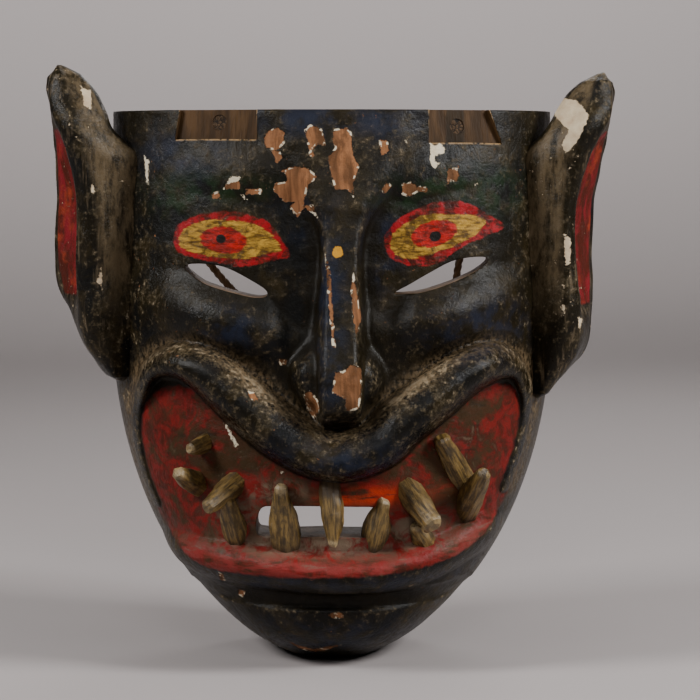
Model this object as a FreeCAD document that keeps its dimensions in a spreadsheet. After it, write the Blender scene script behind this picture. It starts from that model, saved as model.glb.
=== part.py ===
"""A carved and painted wooden dance mask of a horned devil, with eleven whittled teeth and two ears.

Frame, in millimetres: X to the viewer's right, Y towards the back, Z up. The rim that goes against the
wearer's head lies in the plane Y = 0 and the face looks towards -Y. The origin is the middle of the
opening in the back, where the wearer's face goes.
"""

import FreeCAD, Part
import math
import os

Vector = FreeCAD.Vector
Rotation = FreeCAD.Rotation
Placement = FreeCAD.Placement

doc = FreeCAD.newDocument("carved_mask")

# ---------------------------------------------------------------- driving dimensions

DIMENSIONS = [
    ("half_width", 92.0, "half width of the head between its side walls"),
    ("top_height", 108.0, "flat top of the forehead above the origin"),
    ("chin_height", -113.5, "flat under the chin, below the origin"),
    ("widest_height", 20.0, "height at which the jaw starts to narrow"),
    ("jaw_reach", 137.2, "vertical half axis of the jaw's ellipse"),
    ("side_fullness", 2.6, "exponent of the head's cross section: 2 is an ellipse"),
    ("hollow_top", 93.0, "top of the hollow"),
    ("hollow_bottom", -97.0, "bottom of the hollow"),
    ("rim_wall", 10.0, "thickness of the side walls at the rim"),
    ("mouth_depth", 15.0, "depth of the mouth below the face"),
    ("lip_height", 17.0, "height of the rolled upper lip"),
    ("ear_thickness", 15.0, "thickness of the ear's wood"),
    ("ear_scoop", 9.0, "depth of the scoop carved in the ear"),
    ("ear_turn", 42.0, "angle of the ear to the front plane"),
    ("dowel_diameter", 5.0, "ear dowels"),
    ("dowel_length", 20.0, "ear dowels"),
    ("peg_diameter", 6.0, "broken horn pegs"),
    ("peg_length", 20.0, "broken horn pegs"),
    ("cord_diameter", 3.0, "twisted string"),
    ("cord_hole", 3.6, "holes for the string"),
    ("knot_diameter", 9.0, "knots on the string"),
    ("knot_height", 78.0, "height of the string's holes"),
    ("knot_inset", 7.0, "distance of the string's holes from the rim"),
    ("slit_length", 38.0, "eye slits, corner to corner"),
    ("slit_opening", 9.0, "eye slits, at the middle"),
    ("slot_width", 50.0, "slot through the mouth"),
    ("slot_opening", 12.5, "slot through the mouth"),
]

sheet = doc.addObject("Spreadsheet::Sheet", "dimensions")
for row, (alias, value, note) in enumerate(DIMENSIONS, start=1):
    sheet.set(f"A{row}", note)
    sheet.set(f"B{row}", str(value))
    sheet.setAlias(f"B{row}", alias)
doc.recompute()


def size(alias):
    """The value of a driving dimension."""
    return float(getattr(sheet, alias))


def cell(alias):
    """The expression that binds a property to a driving dimension."""
    return f"dimensions.{alias}"


# ---------------------------------------------------------------- shapes of the carving


def smooth(value, low, high):
    """0 below low, 1 above high, and a smooth step between."""
    t = min(1.0, max(0.0, (value - low) / (high - low)))
    return t * t * (3.0 - 2.0 * t)


def along(profile, at):
    """Smooth value at a place on a profile of (place, value) points in rising order."""
    if at <= profile[0][0]:
        return profile[0][1]
    if at >= profile[-1][0]:
        return profile[-1][1]
    k = max(i for i in range(len(profile) - 1) if profile[i][0] <= at)
    (x0, y0), (x1, y1) = profile[k], profile[k + 1]
    before = profile[max(k - 1, 0)]
    after = profile[min(k + 2, len(profile) - 1)]
    slope0 = (y1 - before[1]) / (x1 - before[0])
    slope1 = (after[1] - y0) / (after[0] - x0)
    span = x1 - x0
    t = (at - x0) / span
    curve = (2 * t**3 - 3 * t**2 + 1) * y0 + (3 * t**2 - 2 * t**3) * y1
    return curve + span * ((t**3 - 2 * t**2 + t) * slope0 + (t**3 - t**2) * slope1)


def mound(x, z, centre, radii, tilt=0.0):
    """A soft elliptical mound of height 1, its long axis tilted by so many degrees."""
    turn = math.radians(tilt)
    dx, dz = x - centre[0], z - centre[1]
    a = (dx * math.cos(turn) + dz * math.sin(turn)) / radii[0]
    b = (dz * math.cos(turn) - dx * math.sin(turn)) / radii[1]
    return max(0.0, 1.0 - a * a - b * b) ** 2


def distance_to_path(x, z, path):
    """Distance to a path of (x, z) points."""
    best = 1e9
    for (ax, az), (bx, bz) in zip(path, path[1:]):
        ux, uz = bx - ax, bz - az
        t = ((x - ax) * ux + (z - az) * uz) / (ux * ux + uz * uz)
        t = min(1.0, max(0.0, t))
        best = min(best, math.hypot(x - ax - t * ux, z - az - t * uz))
    return best


def is_inside(x, z, outline):
    """Whether a point is inside a closed outline of (x, z) points."""
    inside = False
    for (ax, az), (bx, bz) in zip(outline, outline[1:] + outline[:1]):
        if (az > z) != (bz > z) and x < ax + (z - az) * (bx - ax) / (bz - az):
            inside = not inside
    return inside


def rounded(distance, half_width):
    """Height of a half round of height 1, at a distance from its middle."""
    return math.sqrt(max(0.0, 1.0 - (distance / half_width) ** 2))


# Depth of the face in front of the rim, by height.
FACE_DEPTH = [
    (-113.5, 46), (-108, 56), (-95, 69), (-72, 79), (-40, 80), (-10, 76), (30, 72), (70, 67), (108, 59),
]
# Depth of the hollow, by height.
HOLLOW_DEPTH = [(-97, 16), (-88, 34), (-70, 50), (-40, 55), (0, 55), (50, 53), (80, 44), (93, 22)]
# Middle of the rolled upper lip, from its left end to its right end, as (x, z), and its half width, by x.
UPPER_LIP = [
    (-71, -50), (-76, -38), (-79, -22), (-77, -6), (-72, 5), (-62, 9), (-51, 6), (-43, 0), (-34, -7),
    (-18, -19), (1, -27), (19, -22), (28, -14), (42, -4), (55, 5), (66, 8), (75, 5), (79, -5),
    (78, -18), (75, -30), (70, -43),
]
UPPER_LIP_HALF_WIDTH = [
    (-79, 3), (-62, 7.5), (-50, 10), (-34, 11.5), (1, 11), (28, 11.5), (55, 10), (66, 8.5), (79, 3),
]
# Share of its full height that the upper lip has, by x: it dies away at both ends, into thin rims that
# run down the sides of the mouth.
UPPER_LIP_RISE = [(-79, 0.25), (-72, 0.7), (-60, 1), (60, 1), (72, 0.7), (79, 0.25)]
# Lower edge of the mouth, from its right end to its left end, as (x, z).
MOUTH_FLOOR = [
    (68, -47), (62, -54), (48, -60), (27, -63), (4, -65), (-16, -64), (-31, -63), (-52, -63),
    (-63, -59), (-68, -54),
]
MOUTH = UPPER_LIP + MOUTH_FLOOR
# Middle of the lower lip, as (x, z).
LOWER_LIP = [(-60, -70), (-31, -70), (4, -73), (35, -70), (60, -61)]
# The long ridge of the nose: middle, height, half width of its flat top and of its base, by height.
NOSE_MIDDLE = [(-13, 4), (30, 4), (84, 5)]
NOSE_HEIGHT = [(-16, 0), (-10, 15), (2, 19), (20, 15), (45, 10), (70, 7), (90, 5), (108, 4)]
NOSE_FLAT = [(-13, 5.5), (45, 5.5), (70, 7), (88, 14), (108, 20)]
NOSE_BASE = [(-13, 11), (2, 15), (30, 11), (62, 12), (88, 34), (108, 44)]
# Outline of the broad pad that the ridge ends on, as (x, z).
NOSE_PAD = [
    (-4, 32), (-11, 20), (-17, 12), (-18, 5), (-16, -2), (-12, -8), (-5, -12.5), (4, -14.5), (12, -12.5),
    (18, -8), (22, -2), (23, 5), (21, 12), (17, 20), (12, 32),
]
NOSE_VALLEYS = ((-15, 44), (24, 45))

# For each side, the middle and the tilt of the eye, of the slit below it and of the cheek.
EYES = {
    "left": {
        "eye": (-39, 57), "eye_tilt": -11,
        "slit": (-41, 41), "slit_tilt": -17,
        "cheek": (-45, 26), "cheek_tilt": -15,
    },
    "right": {
        "eye": (44, 59), "eye_tilt": 15,
        "slit": (44.5, 42.5), "slit_tilt": 17,
        "cheek": (48, 28), "cheek_tilt": 14,
    },
}


def half_width_at(z):
    """Half width of the head: straight sides above an elliptical jaw."""
    if z >= size("widest_height"):
        return size("half_width") - 1.0 * (z - size("widest_height")) / 90.0
    drop = (size("widest_height") - z) / size("jaw_reach")
    return size("half_width") * math.sqrt(1.0 - drop * drop)


def lip_share(x, z):
    """1 along the lip itself and 0 on the thin rims that run down from its two ends."""
    return max(smooth(z, -18.0, -2.0), 1.0 - smooth(abs(x), 58.0, 66.0))


def upper_lip(x, z, floor):
    """The rolled upper lip: it rises from the face above it and from the mouth's floor below it."""
    reach = distance_to_path(x, z, UPPER_LIP)
    share = lip_share(x, z)
    half_width = 2.4 + (along(UPPER_LIP_HALF_WIDTH, x) - 2.4) * share
    if reach >= half_width:
        return floor
    foot = floor if is_inside(x, z, MOUTH) else 0.0
    height = size("lip_height") * (0.1 + (along(UPPER_LIP_RISE, x) - 0.1) * share)
    return max(floor, foot + (height - foot) * rounded(reach, half_width))


def nose(x, z):
    """The nose: a flat-topped ridge that flares into the forehead and ends on a broad rounded pad."""
    off = abs(x - along(NOSE_MIDDLE, z))
    ridge = along(NOSE_HEIGHT, z) * (1.0 - smooth(off, along(NOSE_FLAT, z), along(NOSE_BASE, z)))
    if not is_inside(x, z, NOSE_PAD):
        return ridge
    edge = distance_to_path(x, z, NOSE_PAD + NOSE_PAD[:1])
    return max(ridge, 12.0 * smooth(edge, 0.0, 8.0) * (1.0 - smooth(z, 6.0, 30.0)))


def face_relief(x, z):
    """How far the carving stands in front of the plain head."""
    relief = 0.0
    for side in EYES.values():
        relief -= 6.0 * mound(x, z, side["eye"], (40, 19), side["eye_tilt"])
        relief += 6.0 * mound(x, z, side["eye"], (31, 13), side["eye_tilt"])
        relief += 8.0 * mound(x, z, side["cheek"], (46, 18), side["cheek_tilt"])
    relief += 3.0 * mound(x, z, (2, 84), (75, 16))
    for valley in NOSE_VALLEYS:
        relief -= 4.0 * mound(x, z, valley, (11, 36))
    relief = max(relief, nose(x, z))
    edge = min(distance_to_path(x, z, MOUTH + MOUTH[:1]), 50.0)
    if is_inside(x, z, MOUTH):
        relief = -size("mouth_depth") * smooth(edge, 0.0, 6.0)
    relief = upper_lip(x, z, relief)
    relief = max(relief, 9.0 * rounded(distance_to_path(x, z, LOWER_LIP), 9.0) ** 2)
    relief -= 3.0 * rounded(distance_to_path(x, z, [(-52, -84), (52, -84)]), 4.0)
    return relief + 4.0 * mound(x, z, (0, -98), (60, 13))


def spline_surface(rows):
    """A smooth surface through the middle of a net of points, with the net's edges as its own edges."""
    surface = Part.BSplineSurface()
    knots = []
    counts = []
    for count in (len(rows), len(rows[0])):
        knots.append([float(i) for i in range(count - 2)])
        counts.append([4] + [1] * (count - 4) + [4])
    surface.buildFromPolesMultsKnots(rows, counts[0], counts[1], knots[0], knots[1], False, False, 3, 3)
    return surface


def bowl(heights, half_width, depth, fullness, relief, back):
    """A closed solid, flat at the back, top and bottom, whose front is a smooth carved surface."""
    columns = 76
    rows = []
    for z in heights:
        row = []
        for i in range(columns + 1):
            across = math.sin(math.pi * (i / columns - 0.5))
            bulge = math.sqrt(max(0.0, 1.0 - abs(across) ** fullness))
            x = half_width(z) * across
            fade = smooth(bulge, 0.0, 0.35)
            row.append(Vector(x, back - (depth(z) + back) * bulge - relief(x, z) * fade, z))
        rows.append(row)
    front = Part.Face(spline_surface(rows))
    ends = [edge for edge in front.Edges if edge.BoundBox.ZLength < 1e-6]
    sides = [edge for edge in front.Edges if edge.BoundBox.YLength < 1e-6]
    faces = [front]
    chords = []
    for end in ends:
        chord = Part.makeLine(end.Vertexes[0].Point, end.Vertexes[-1].Point)
        faces.append(Part.Face(Part.Wire(Part.__sortEdges__([end, chord]))))
        chords.append(chord)
    faces.append(Part.Face(Part.Wire(Part.__sortEdges__(sides + chords))))
    shell = Part.makeShell(faces)
    shell.sewShape()
    solid = Part.makeSolid(shell)
    solid.fix(1e-5, 1e-5, 1e-5)
    return solid


def spread(low, high, count):
    """Heights from low to high, closer together at the low end, where the chin curves most."""
    steps = [1.0 - math.cos(0.5 * math.pi * i / count) for i in range(count + 1)]
    even = [i / count for i in range(count + 1)]
    return [low + (high - low) * (0.3 * a + 0.7 * b) for a, b in zip(steps, even)]


def feature(name, shape):
    """A document object that holds a shape made by Part's own functions."""
    made = doc.addObject("Part::Feature", name)
    made.Shape = shape
    return made


def boolean(kind, name, base, tool):
    """A cut or common of two document objects."""
    made = doc.addObject(f"Part::{kind}", name)
    made.Base = base
    made.Tool = tool
    return made


def fused(name, pieces):
    """Several document objects as one."""
    made = doc.addObject("Part::MultiFuse", name)
    made.Shapes = pieces
    return made


def cylinder(name, diameter, length, start, direction):
    """A cylinder whose diameter and length are bound to the sheet."""
    made = doc.addObject("Part::Cylinder", name)
    made.setExpression("Radius", f"{cell(diameter)} / 2")
    made.setExpression("Height", cell(length))
    made.Placement = Placement(Vector(*start), Rotation(Vector(0, 0, 1), Vector(*direction)))
    return made


parts = []


def keep(label, made):
    """Note a finished sub-part under its own name."""
    made.Label = label
    parts.append(made)
    return made


# ---------------------------------------------------------------- the plain head and its hollow

outer = feature(
    "head_outside",
    bowl(
        spread(size("chin_height"), size("top_height"), 66),
        half_width_at,
        lambda z: along(FACE_DEPTH, z),
        size("side_fullness"),
        face_relief,
        0.0,
    ),
)
hollow = feature(
    "head_hollow",
    bowl(
        spread(size("hollow_bottom"), size("hollow_top"), 20),
        lambda z: half_width_at(z) - size("rim_wall"),
        lambda z: along(HOLLOW_DEPTH, z),
        size("side_fullness"),
        lambda x, z: 0.0,
        1.0,
    ),
)

# ---------------------------------------------------------------- openings through the face


def eye_slit(side):
    """The tool that cuts one eye slit: a lens, where two round bars cross, laid through the face."""
    bars = []
    for way in (-1, 1):
        bar = doc.addObject("Part::Cylinder", f"slit_bar_{side}_{'low' if way < 0 else 'high'}")
        half = f"({cell('slit_length')} / 2)"
        rise = f"({cell('slit_opening')} / 2)"
        radius = f"({half} * {half} + {rise} * {rise}) / (2 * {rise})"
        bar.setExpression("Radius", radius)
        bar.Height = 70.0
        bar.Placement = Placement(Vector(0, 0, 0), Rotation(Vector(0, 0, 1), Vector(0, 1, 0)))
        bar.setExpression("Placement.Base.z", f"{way} * (({radius}) - {rise})")
        bars.append(bar)
    lens = boolean("Common", f"slit_{side}", bars[0], bars[1])
    x, z = EYES[side]["slit"]
    tilt = EYES[side]["slit_tilt"]
    lens.Placement = Placement(Vector(x, -95, z), Rotation(Vector(0, -1, 0), tilt))
    return lens


slot = doc.addObject("Part::Box", "mouth_slot")
slot.setExpression("Length", cell("slot_width"))
slot.setExpression("Height", cell("slot_opening"))
slot.Width = 40.0
slot.Placement = Placement(Vector(-29.0, -85.0, -58.2), Rotation())

# ---------------------------------------------------------------- horn seats and their broken pegs

# For each side: the seat's middle, its width, and how far its flat turns outward and leans back.
HORN_SEATS = {
    "left": {"middle": (-44.0, -52.6, 103.0), "width": 34.0, "turn": -19.0},
    "right": {"middle": (50.0, -50.2, 101.5), "width": 28.0, "turn": 22.0},
}
SEAT_LEAN = 8.0
SEAT_RISE = 14.0


def seat_rotation(side):
    """Turns the seat's own axes, X across it and -Y out of it, into the mask's frame."""
    turn = Rotation(Vector(0, 0, 1), HORN_SEATS[side]["turn"])
    return turn.multiply(Rotation(Vector(1, 0, 0), -SEAT_LEAN))


def horn_seat(side):
    """The tool that cuts one flat seat across the top edge of the forehead."""
    seat = HORN_SEATS[side]
    box = doc.addObject("Part::Box", f"seat_cut_{side}")
    box.Length = seat["width"]
    box.Width = 20.0
    box.Height = 40.0
    turned = seat_rotation(side)
    corner = Vector(-seat["width"] / 2, -20.0, -SEAT_RISE / 2)
    box.Placement = Placement(Vector(*seat["middle"]) + turned.multVec(corner), turned)
    return box


def horn_peg(side):
    """The broken peg of a lost horn, flush with its seat."""
    turned = seat_rotation(side)
    middle = Vector(*HORN_SEATS[side]["middle"])
    inward = turned.multVec(Vector(0, 1, 0))
    start = middle + inward * 0.4
    return cylinder(f"peg_{side}", "peg_diameter", "peg_length", tuple(start), tuple(inward))


# ---------------------------------------------------------------- teeth

# Each tooth: tip, the point where it leaves the wood, radius at the root, radius at the tip.
TEETH = {
    "tooth_side_left": ((-59, -84, -32), (-50, -60, -41), 4.4, 2.4),
    "tooth_cheek_left": ((-55, -77, -24), (-47, -63, -21), 3.6, 2.2),
    "tooth_fang_left": ((-48, -85, -46), (-34, -68, -35), 4.9, 2.8),
    "tooth_lower_left": ((-40, -80, -43), (-36, -72, -60), 4.6, 2.6),
    "tooth_lower_middle": ((-19, -82, -37), (-17, -76, -62), 5.8, 2.4),
    "tooth_upper_middle": ((1, -84, -61), (0, -80, -41), 4.4, 1.8),
    "tooth_lower_right": ((21, -80, -43), (17, -75, -62), 5.2, 2.4),
    "tooth_fang_right": ((40, -87, -53), (26, -70, -36), 5.2, 3.6),
    "tooth_lower_small": ((33, -79, -53), (38, -72, -62), 4.2, 2.4),
    "tooth_side_right": ((60, -82, -32), (53, -62, -51), 4.6, 2.6),
    "tooth_cheek_right": ((43, -76, -19), (53, -64, -39), 4.8, 3.0),
}
TOOTH_ROOT = 9.0


def origin_plane(body, role):
    """One of a body's own origin planes."""
    return next(item for item in body.Origin.OriginFeatures if item.Role == role)


def tooth(name):
    """A whittled peg: a profile turned about its own axis, root first, and aimed at its place."""
    tip, leaves, root_radius, tip_radius = TEETH[name]
    axis = Vector(*tip) - Vector(*leaves)
    reach = axis.Length
    axis.normalize()
    body = doc.addObject("PartDesign::Body", f"body_{name}")
    sketch = body.newObject("Sketcher::SketchObject", f"profile_{name}")
    sketch.AttachmentSupport = [(origin_plane(body, "XZ_Plane"), "")]
    sketch.MapMode = "FlatFace"
    belly = 0.45 * reach
    shoulder = reach - tip_radius
    corners = [
        (0.0, -TOOTH_ROOT),
        (root_radius * 0.8, -TOOTH_ROOT),
        (root_radius, 0.0),
        (root_radius * 0.95, belly),
        (tip_radius, shoulder),
    ]
    points = [Vector(x, y, 0) for x, y in corners]
    for start, end in zip(points, points[1:]):
        sketch.addGeometry(Part.LineSegment(start, end))
    crown = Vector(tip_radius * math.sin(math.pi / 4), shoulder + tip_radius * math.cos(math.pi / 4), 0)
    end = Vector(0, reach, 0)
    sketch.addGeometry(Part.Arc(points[-1], crown, end))
    sketch.addGeometry(Part.LineSegment(end, points[0]))
    turned = body.newObject("PartDesign::Revolution", f"turned_{name}")
    turned.Profile = sketch
    turned.ReferenceAxis = (sketch, ["V_Axis"])
    turned.Angle = 360.0
    sketch.Visibility = False
    body.Placement = Placement(Vector(*leaves), Rotation(Vector(0, 0, 1), axis))
    return body


# ---------------------------------------------------------------- ears

EAR_FOOT = (84.0, -34.0)
# Outline of the ear in its own plane, out from the head and up, as arcs through three points.
EAR_OUTLINE = {
    "left": [
        ((-4, -3), (20, 12), (34, 36)),
        ((34, 36), (34, 78), (37, 118)),
        ((37, 118), (35, 127), (28, 125)),
        ((28, 125), (16, 118), (4, 101)),
    ],
    "right": [
        ((-4, -9), (14, 2), (26, 20)),
        ((26, 20), (26.5, 62), (36, 106)),
        ((36, 106), (36.5, 121), (30, 124)),
        ((30, 124), (17, 118), (4, 102)),
    ],
}
EAR_SCOOP = {
    "left": [
        ((21, 27), (12, 66), (31, 114)), ((31, 114), (29.5, 76), (30, 38)), ((30, 38), (27, 29), (21, 27)),
    ],
    "right": [
        ((16, 17), (10, 56), (31, 106)), ((31, 106), (22.5, 62), (22, 25)), ((22, 25), (20, 18), (16, 17)),
    ],
}


def leaf_sketch(body, name, arcs, side, closing=None):
    """A closed outline of arcs, mirrored for the left side."""
    way = 1.0 if side == "right" else -1.0
    sketch = body.newObject("Sketcher::SketchObject", name)
    sketch.AttachmentSupport = [(origin_plane(body, "XZ_Plane"), "")]
    sketch.MapMode = "FlatFace"
    for start, middle, end in arcs:
        points = [Vector(way * u, v, 0) for u, v in (start, middle, end)]
        sketch.addGeometry(Part.Arc(*points))
    if closing:
        corners = [arcs[-1][2], closing, arcs[0][0]]
        points = [Vector(way * u, v, 0) for u, v in corners]
        for start, end in zip(points, points[1:]):
            sketch.addGeometry(Part.LineSegment(start, end))
    sketch.Visibility = False
    return sketch


def ear(side):
    """A leaf of wood with a long scoop carved in the face that looks forward and outward."""
    way = 1.0 if side == "right" else -1.0
    body = doc.addObject("PartDesign::Body", f"body_ear_{side}")
    outline = leaf_sketch(body, f"outline_ear_{side}", EAR_OUTLINE[side], side, closing=(-4, 99))
    leaf = body.newObject("PartDesign::Pad", f"leaf_ear_{side}")
    leaf.Profile = outline
    leaf.setExpression("Length", cell("ear_thickness"))
    leaf.Midplane = True
    doc.recompute()
    scoop_outline = leaf_sketch(body, f"scoop_outline_{side}", EAR_SCOOP[side], side)
    scoop_outline.setExpression("AttachmentOffset.Base.z", f"{cell('ear_thickness')} / 2")
    scoop = body.newObject("PartDesign::Pocket", f"scoop_ear_{side}")
    scoop.Profile = scoop_outline
    scoop.setExpression("Length", cell("ear_scoop"))
    doc.recompute()
    body.setExpression("Placement.Rotation.Angle", cell("ear_turn"))
    foot = Vector(way * EAR_FOOT[0], EAR_FOOT[1], 0)
    body.Placement = Placement(foot, Rotation(Vector(0, 0, way), size("ear_turn")))
    return body


# ---------------------------------------------------------------- ear dowels, string holes and knots

# Height of each dowel and the place across the mask where it starts, just proud inside the hollow.
DOWEL_PLACES = {"upper": (74.0, 70.8), "lower": (26.0, 72.4)}
DOWEL_Y = -25.0


def side_cylinder(name, diameter, length, side, start, y, z):
    """A cylinder laid across a side wall, from the inside out."""
    way = 1.0 if side == "right" else -1.0
    return cylinder(name, diameter, length, (way * start, y, z), (way, 0, 0))


WALL_FACE = 91.6


def knot(side):
    """A stopper knot, a ball cut flat where it bears on the wall."""
    way = 1.0 if side == "right" else -1.0
    ball = doc.addObject("Part::Sphere", f"ball_{side}")
    ball.setExpression("Radius", f"{cell('knot_diameter')} / 2")
    middle = Vector(way * (WALL_FACE + 3.0), -size("knot_inset"), size("knot_height"))
    ball.Placement = Placement(middle, Rotation())
    wall = doc.addObject("Part::Box", f"knot_flat_{side}")
    wall.Length = wall.Width = wall.Height = 20.0
    left = WALL_FACE - 20.0 if side == "right" else -WALL_FACE
    corner = Vector(left, -size("knot_inset") - 10.0, size("knot_height") - 10.0)
    wall.Placement = Placement(corner, Rotation())
    return boolean("Cut", f"knot_{side}", ball, wall)


# ---------------------------------------------------------------- the string

# Route of the string, from knot to knot: it hangs in the hollow behind the eyes.
CORD_ROUTE = [
    (-91.6, -7, 78), (-70, -7, 78), (-59, -10, 57), (-45.5, -14, 38.5), (-28, -17, 22), (-12, -19, 2),
    (6, -20, -14), (28, -19, -19), (44, -17, -5), (50, -15, 18), (51.5, -13, 42), (57.5, -10, 63),
    (72, -7, 78), (91.6, -7, 78),
]


def cord_tube(route, diameter):
    """A round tube of straight runs joined by tangent arcs, with each arc as large as its runs allow."""
    points = [Vector(*point) for point in route]
    radii = []
    edges = []
    start = points[0]
    for before, corner, after in zip(points, points[1:], points[2:]):
        back = before - corner
        ahead = after - corner
        run = min(back.Length, ahead.Length)
        back.normalize()
        ahead.normalize()
        half_turn = (math.pi - back.getAngle(ahead)) / 2
        trim = 0.45 * run
        radii.append(trim / math.tan(half_turn))
        enter = corner + back * trim
        leave = corner + ahead * trim
        bisector = (back + ahead).normalize()
        sagitta = radii[-1] / math.cos(half_turn) - radii[-1]
        edges.append(Part.makeLine(start, enter))
        edges.append(Part.Arc(enter, corner + bisector * sagitta, leave).toShape())
        start = leave
    edges.append(Part.makeLine(start, points[-1]))
    path = Part.Wire(edges)
    ring = Part.Wire(Part.makeCircle(diameter / 2, points[0], points[1] - points[0]))
    tube = path.makePipeShell([ring], True, True)
    section = math.pi * diameter**2 / 4
    print("cord radii:", ", ".join(f"{radius:.1f}" for radius in radii))
    swept = section * path.Length
    print(f"cord length {path.Length:.1f}, volume {tube.Volume:.1f}, section x length {swept:.1f}")
    return tube


# ---------------------------------------------------------------- assembly

teeth = {name: keep(name, tooth(name)) for name in TEETH}
pegs = [keep(f"horn_peg_{side}", horn_peg(side)) for side in HORN_SEATS]

dowels = {}
for side in HORN_SEATS:
    for level, (z, start) in DOWEL_PLACES.items():
        name = f"ear_dowel_{side}_{level}"
        made = side_cylinder(name, "dowel_diameter", "dowel_length", side, start, DOWEL_Y, z)
        dowels[name] = keep(name, made)

for side in HORN_SEATS:
    on_side = [dowel for name, dowel in dowels.items() if side in name]
    trimmed = boolean("Cut", f"ear_trimmed_{side}", ear(side), outer)
    keep(f"ear_{side}", boolean("Cut", f"ear_{side}", trimmed, fused(f"ear_holes_{side}", on_side)))
    keep(f"strap_knot_{side}", knot(side))

cord = feature("cord", cord_tube(CORD_ROUTE, size("cord_diameter")))
keep("strap_cord", cord)

cord_holes = []
for side in HORN_SEATS:
    hole = side_cylinder(
        f"cord_hole_{side}", "cord_hole", "dowel_length", side,
        75.0, -size("knot_inset"), size("knot_height"),
    )
    cord_holes.append(hole)

hollowed = boolean("Cut", "head_hollowed", outer, hollow)
tools = [eye_slit(side) for side in EYES] + [slot] + [horn_seat(side) for side in HORN_SEATS] + cord_holes
opened = boolean("Cut", "head_opened", hollowed, fused("openings", tools))
sockets = fused("sockets", list(teeth.values()) + pegs + list(dowels.values()))
keep("face_shell", boolean("Cut", "face", opened, sockets))

# ---------------------------------------------------------------- checks and files

doc.recompute()
for item in doc.Objects:
    if "Invalid" in item.State or "Error" in item.State:
        raise RuntimeError(f"{item.Label} did not compute: {item.State}")
for item in parts:
    if item.Shape.isNull() or not item.Shape.isValid():
        raise RuntimeError(f"{item.Label} has no valid shape")
    print(f"{item.Label}: {len(item.Shape.Solids)} solid, {item.Shape.Volume / 1000:.1f} cm3")

os.makedirs("parts", exist_ok=True)
for item in parts:
    item.Shape.exportStep(f"parts/{item.Label}.step")
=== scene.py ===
"""The looks of the carved and painted devil mask: carved wood, worn paint, whittled teeth and string.

The carving is worked out in millimetres, in the frame of the CAD model, and turned into metres when a
mesh is made. The face looks towards -Y and its rim lies in the plane Y = 0.
"""

import bmesh
import bpy
import math
import numpy as np
from mathutils import Matrix, Vector


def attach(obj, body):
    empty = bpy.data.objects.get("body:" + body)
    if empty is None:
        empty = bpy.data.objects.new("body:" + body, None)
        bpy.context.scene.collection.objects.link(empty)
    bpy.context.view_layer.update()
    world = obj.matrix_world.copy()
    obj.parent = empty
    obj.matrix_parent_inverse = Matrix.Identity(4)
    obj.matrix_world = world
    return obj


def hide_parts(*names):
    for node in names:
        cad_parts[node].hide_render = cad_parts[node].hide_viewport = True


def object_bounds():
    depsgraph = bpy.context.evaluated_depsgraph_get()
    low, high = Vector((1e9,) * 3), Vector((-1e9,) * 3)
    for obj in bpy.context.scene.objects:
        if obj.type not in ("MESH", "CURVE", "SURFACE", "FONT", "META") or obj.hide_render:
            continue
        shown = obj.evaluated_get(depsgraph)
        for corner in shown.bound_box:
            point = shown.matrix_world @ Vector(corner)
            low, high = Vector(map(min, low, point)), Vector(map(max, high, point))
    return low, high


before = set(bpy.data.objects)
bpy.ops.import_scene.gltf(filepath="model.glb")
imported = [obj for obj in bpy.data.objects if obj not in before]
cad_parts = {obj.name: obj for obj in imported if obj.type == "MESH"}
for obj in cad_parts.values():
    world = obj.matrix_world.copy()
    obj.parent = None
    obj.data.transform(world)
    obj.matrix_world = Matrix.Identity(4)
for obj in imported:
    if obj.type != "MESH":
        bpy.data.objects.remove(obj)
cad_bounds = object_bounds()

MM = 0.001
BODY = "root"
SIDES = ("left", "right")
FAR_OUTSIDE = -50.0


# ---------------------------------------------------------------- camera, light and floor

FLOOR_Z = cad_bounds[0][2]
AIM = (Vector(cad_bounds[0]) + Vector(cad_bounds[1])) / 2 + Vector((7.2, -7.5, 6.1)) * MM
CAMERA_DISTANCE = 0.90
CAMERA_ELEVATION = math.radians(5.0)


def add_camera():
    """A long lens in front of the mask, a little below the top of its forehead."""
    data = bpy.data.cameras.new("camera")
    data.lens = 116.6
    data.sensor_width = 36.0
    data.clip_end = 20.0
    camera = bpy.data.objects.new("camera", data)
    back = Vector((0.0, -math.cos(CAMERA_ELEVATION), math.sin(CAMERA_ELEVATION)))
    camera.location = AIM + back * CAMERA_DISTANCE
    camera.rotation_euler = back.to_track_quat("Z", "Y").to_euler()
    bpy.context.scene.collection.objects.link(camera)
    bpy.context.scene.camera = camera


def add_area(name, place, size, power, aim=AIM, spread=180.0):
    """A soft rectangular light aimed at the mask."""
    data = bpy.data.lights.new(name, "AREA")
    data.shape = "RECTANGLE"
    data.size, data.size_y = size
    data.energy = power
    data.spread = math.radians(spread)
    light = bpy.data.objects.new(name, data)
    light.location = Vector(place)
    light.rotation_euler = (Vector(place) - Vector(aim)).to_track_quat("Z", "Y").to_euler()
    light.visible_camera = False
    bpy.context.scene.collection.objects.link(light)


def add_stage(material):
    """A pale floor that sweeps up far behind the mask."""
    turn_start, radius, height = 1.3, 1.6, 4.0
    profile = [(-6.0, FLOOR_Z), (turn_start, FLOOR_Z)]
    for i in range(1, 25):
        angle = math.radians(90.0 * i / 24)
        profile.append((turn_start + radius * math.sin(angle), FLOOR_Z + radius * (1.0 - math.cos(angle))))
    profile.append((turn_start + radius, height))
    verts = [(x, y, z) for y, z in profile for x in (-6.0, 6.0)]
    faces = [(2 * i, 2 * i + 1, 2 * i + 3, 2 * i + 2) for i in range(len(profile) - 1)]
    mesh = bpy.data.meshes.new("backdrop")
    mesh.from_pydata(verts, [], faces)
    mesh.polygons.foreach_set("use_smooth", [True] * len(faces))
    mesh.materials.append(material)
    backdrop = bpy.data.objects.new("backdrop", mesh)
    bpy.context.scene.collection.objects.link(backdrop)


# ---------------------------------------------------------------- numbers


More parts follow.
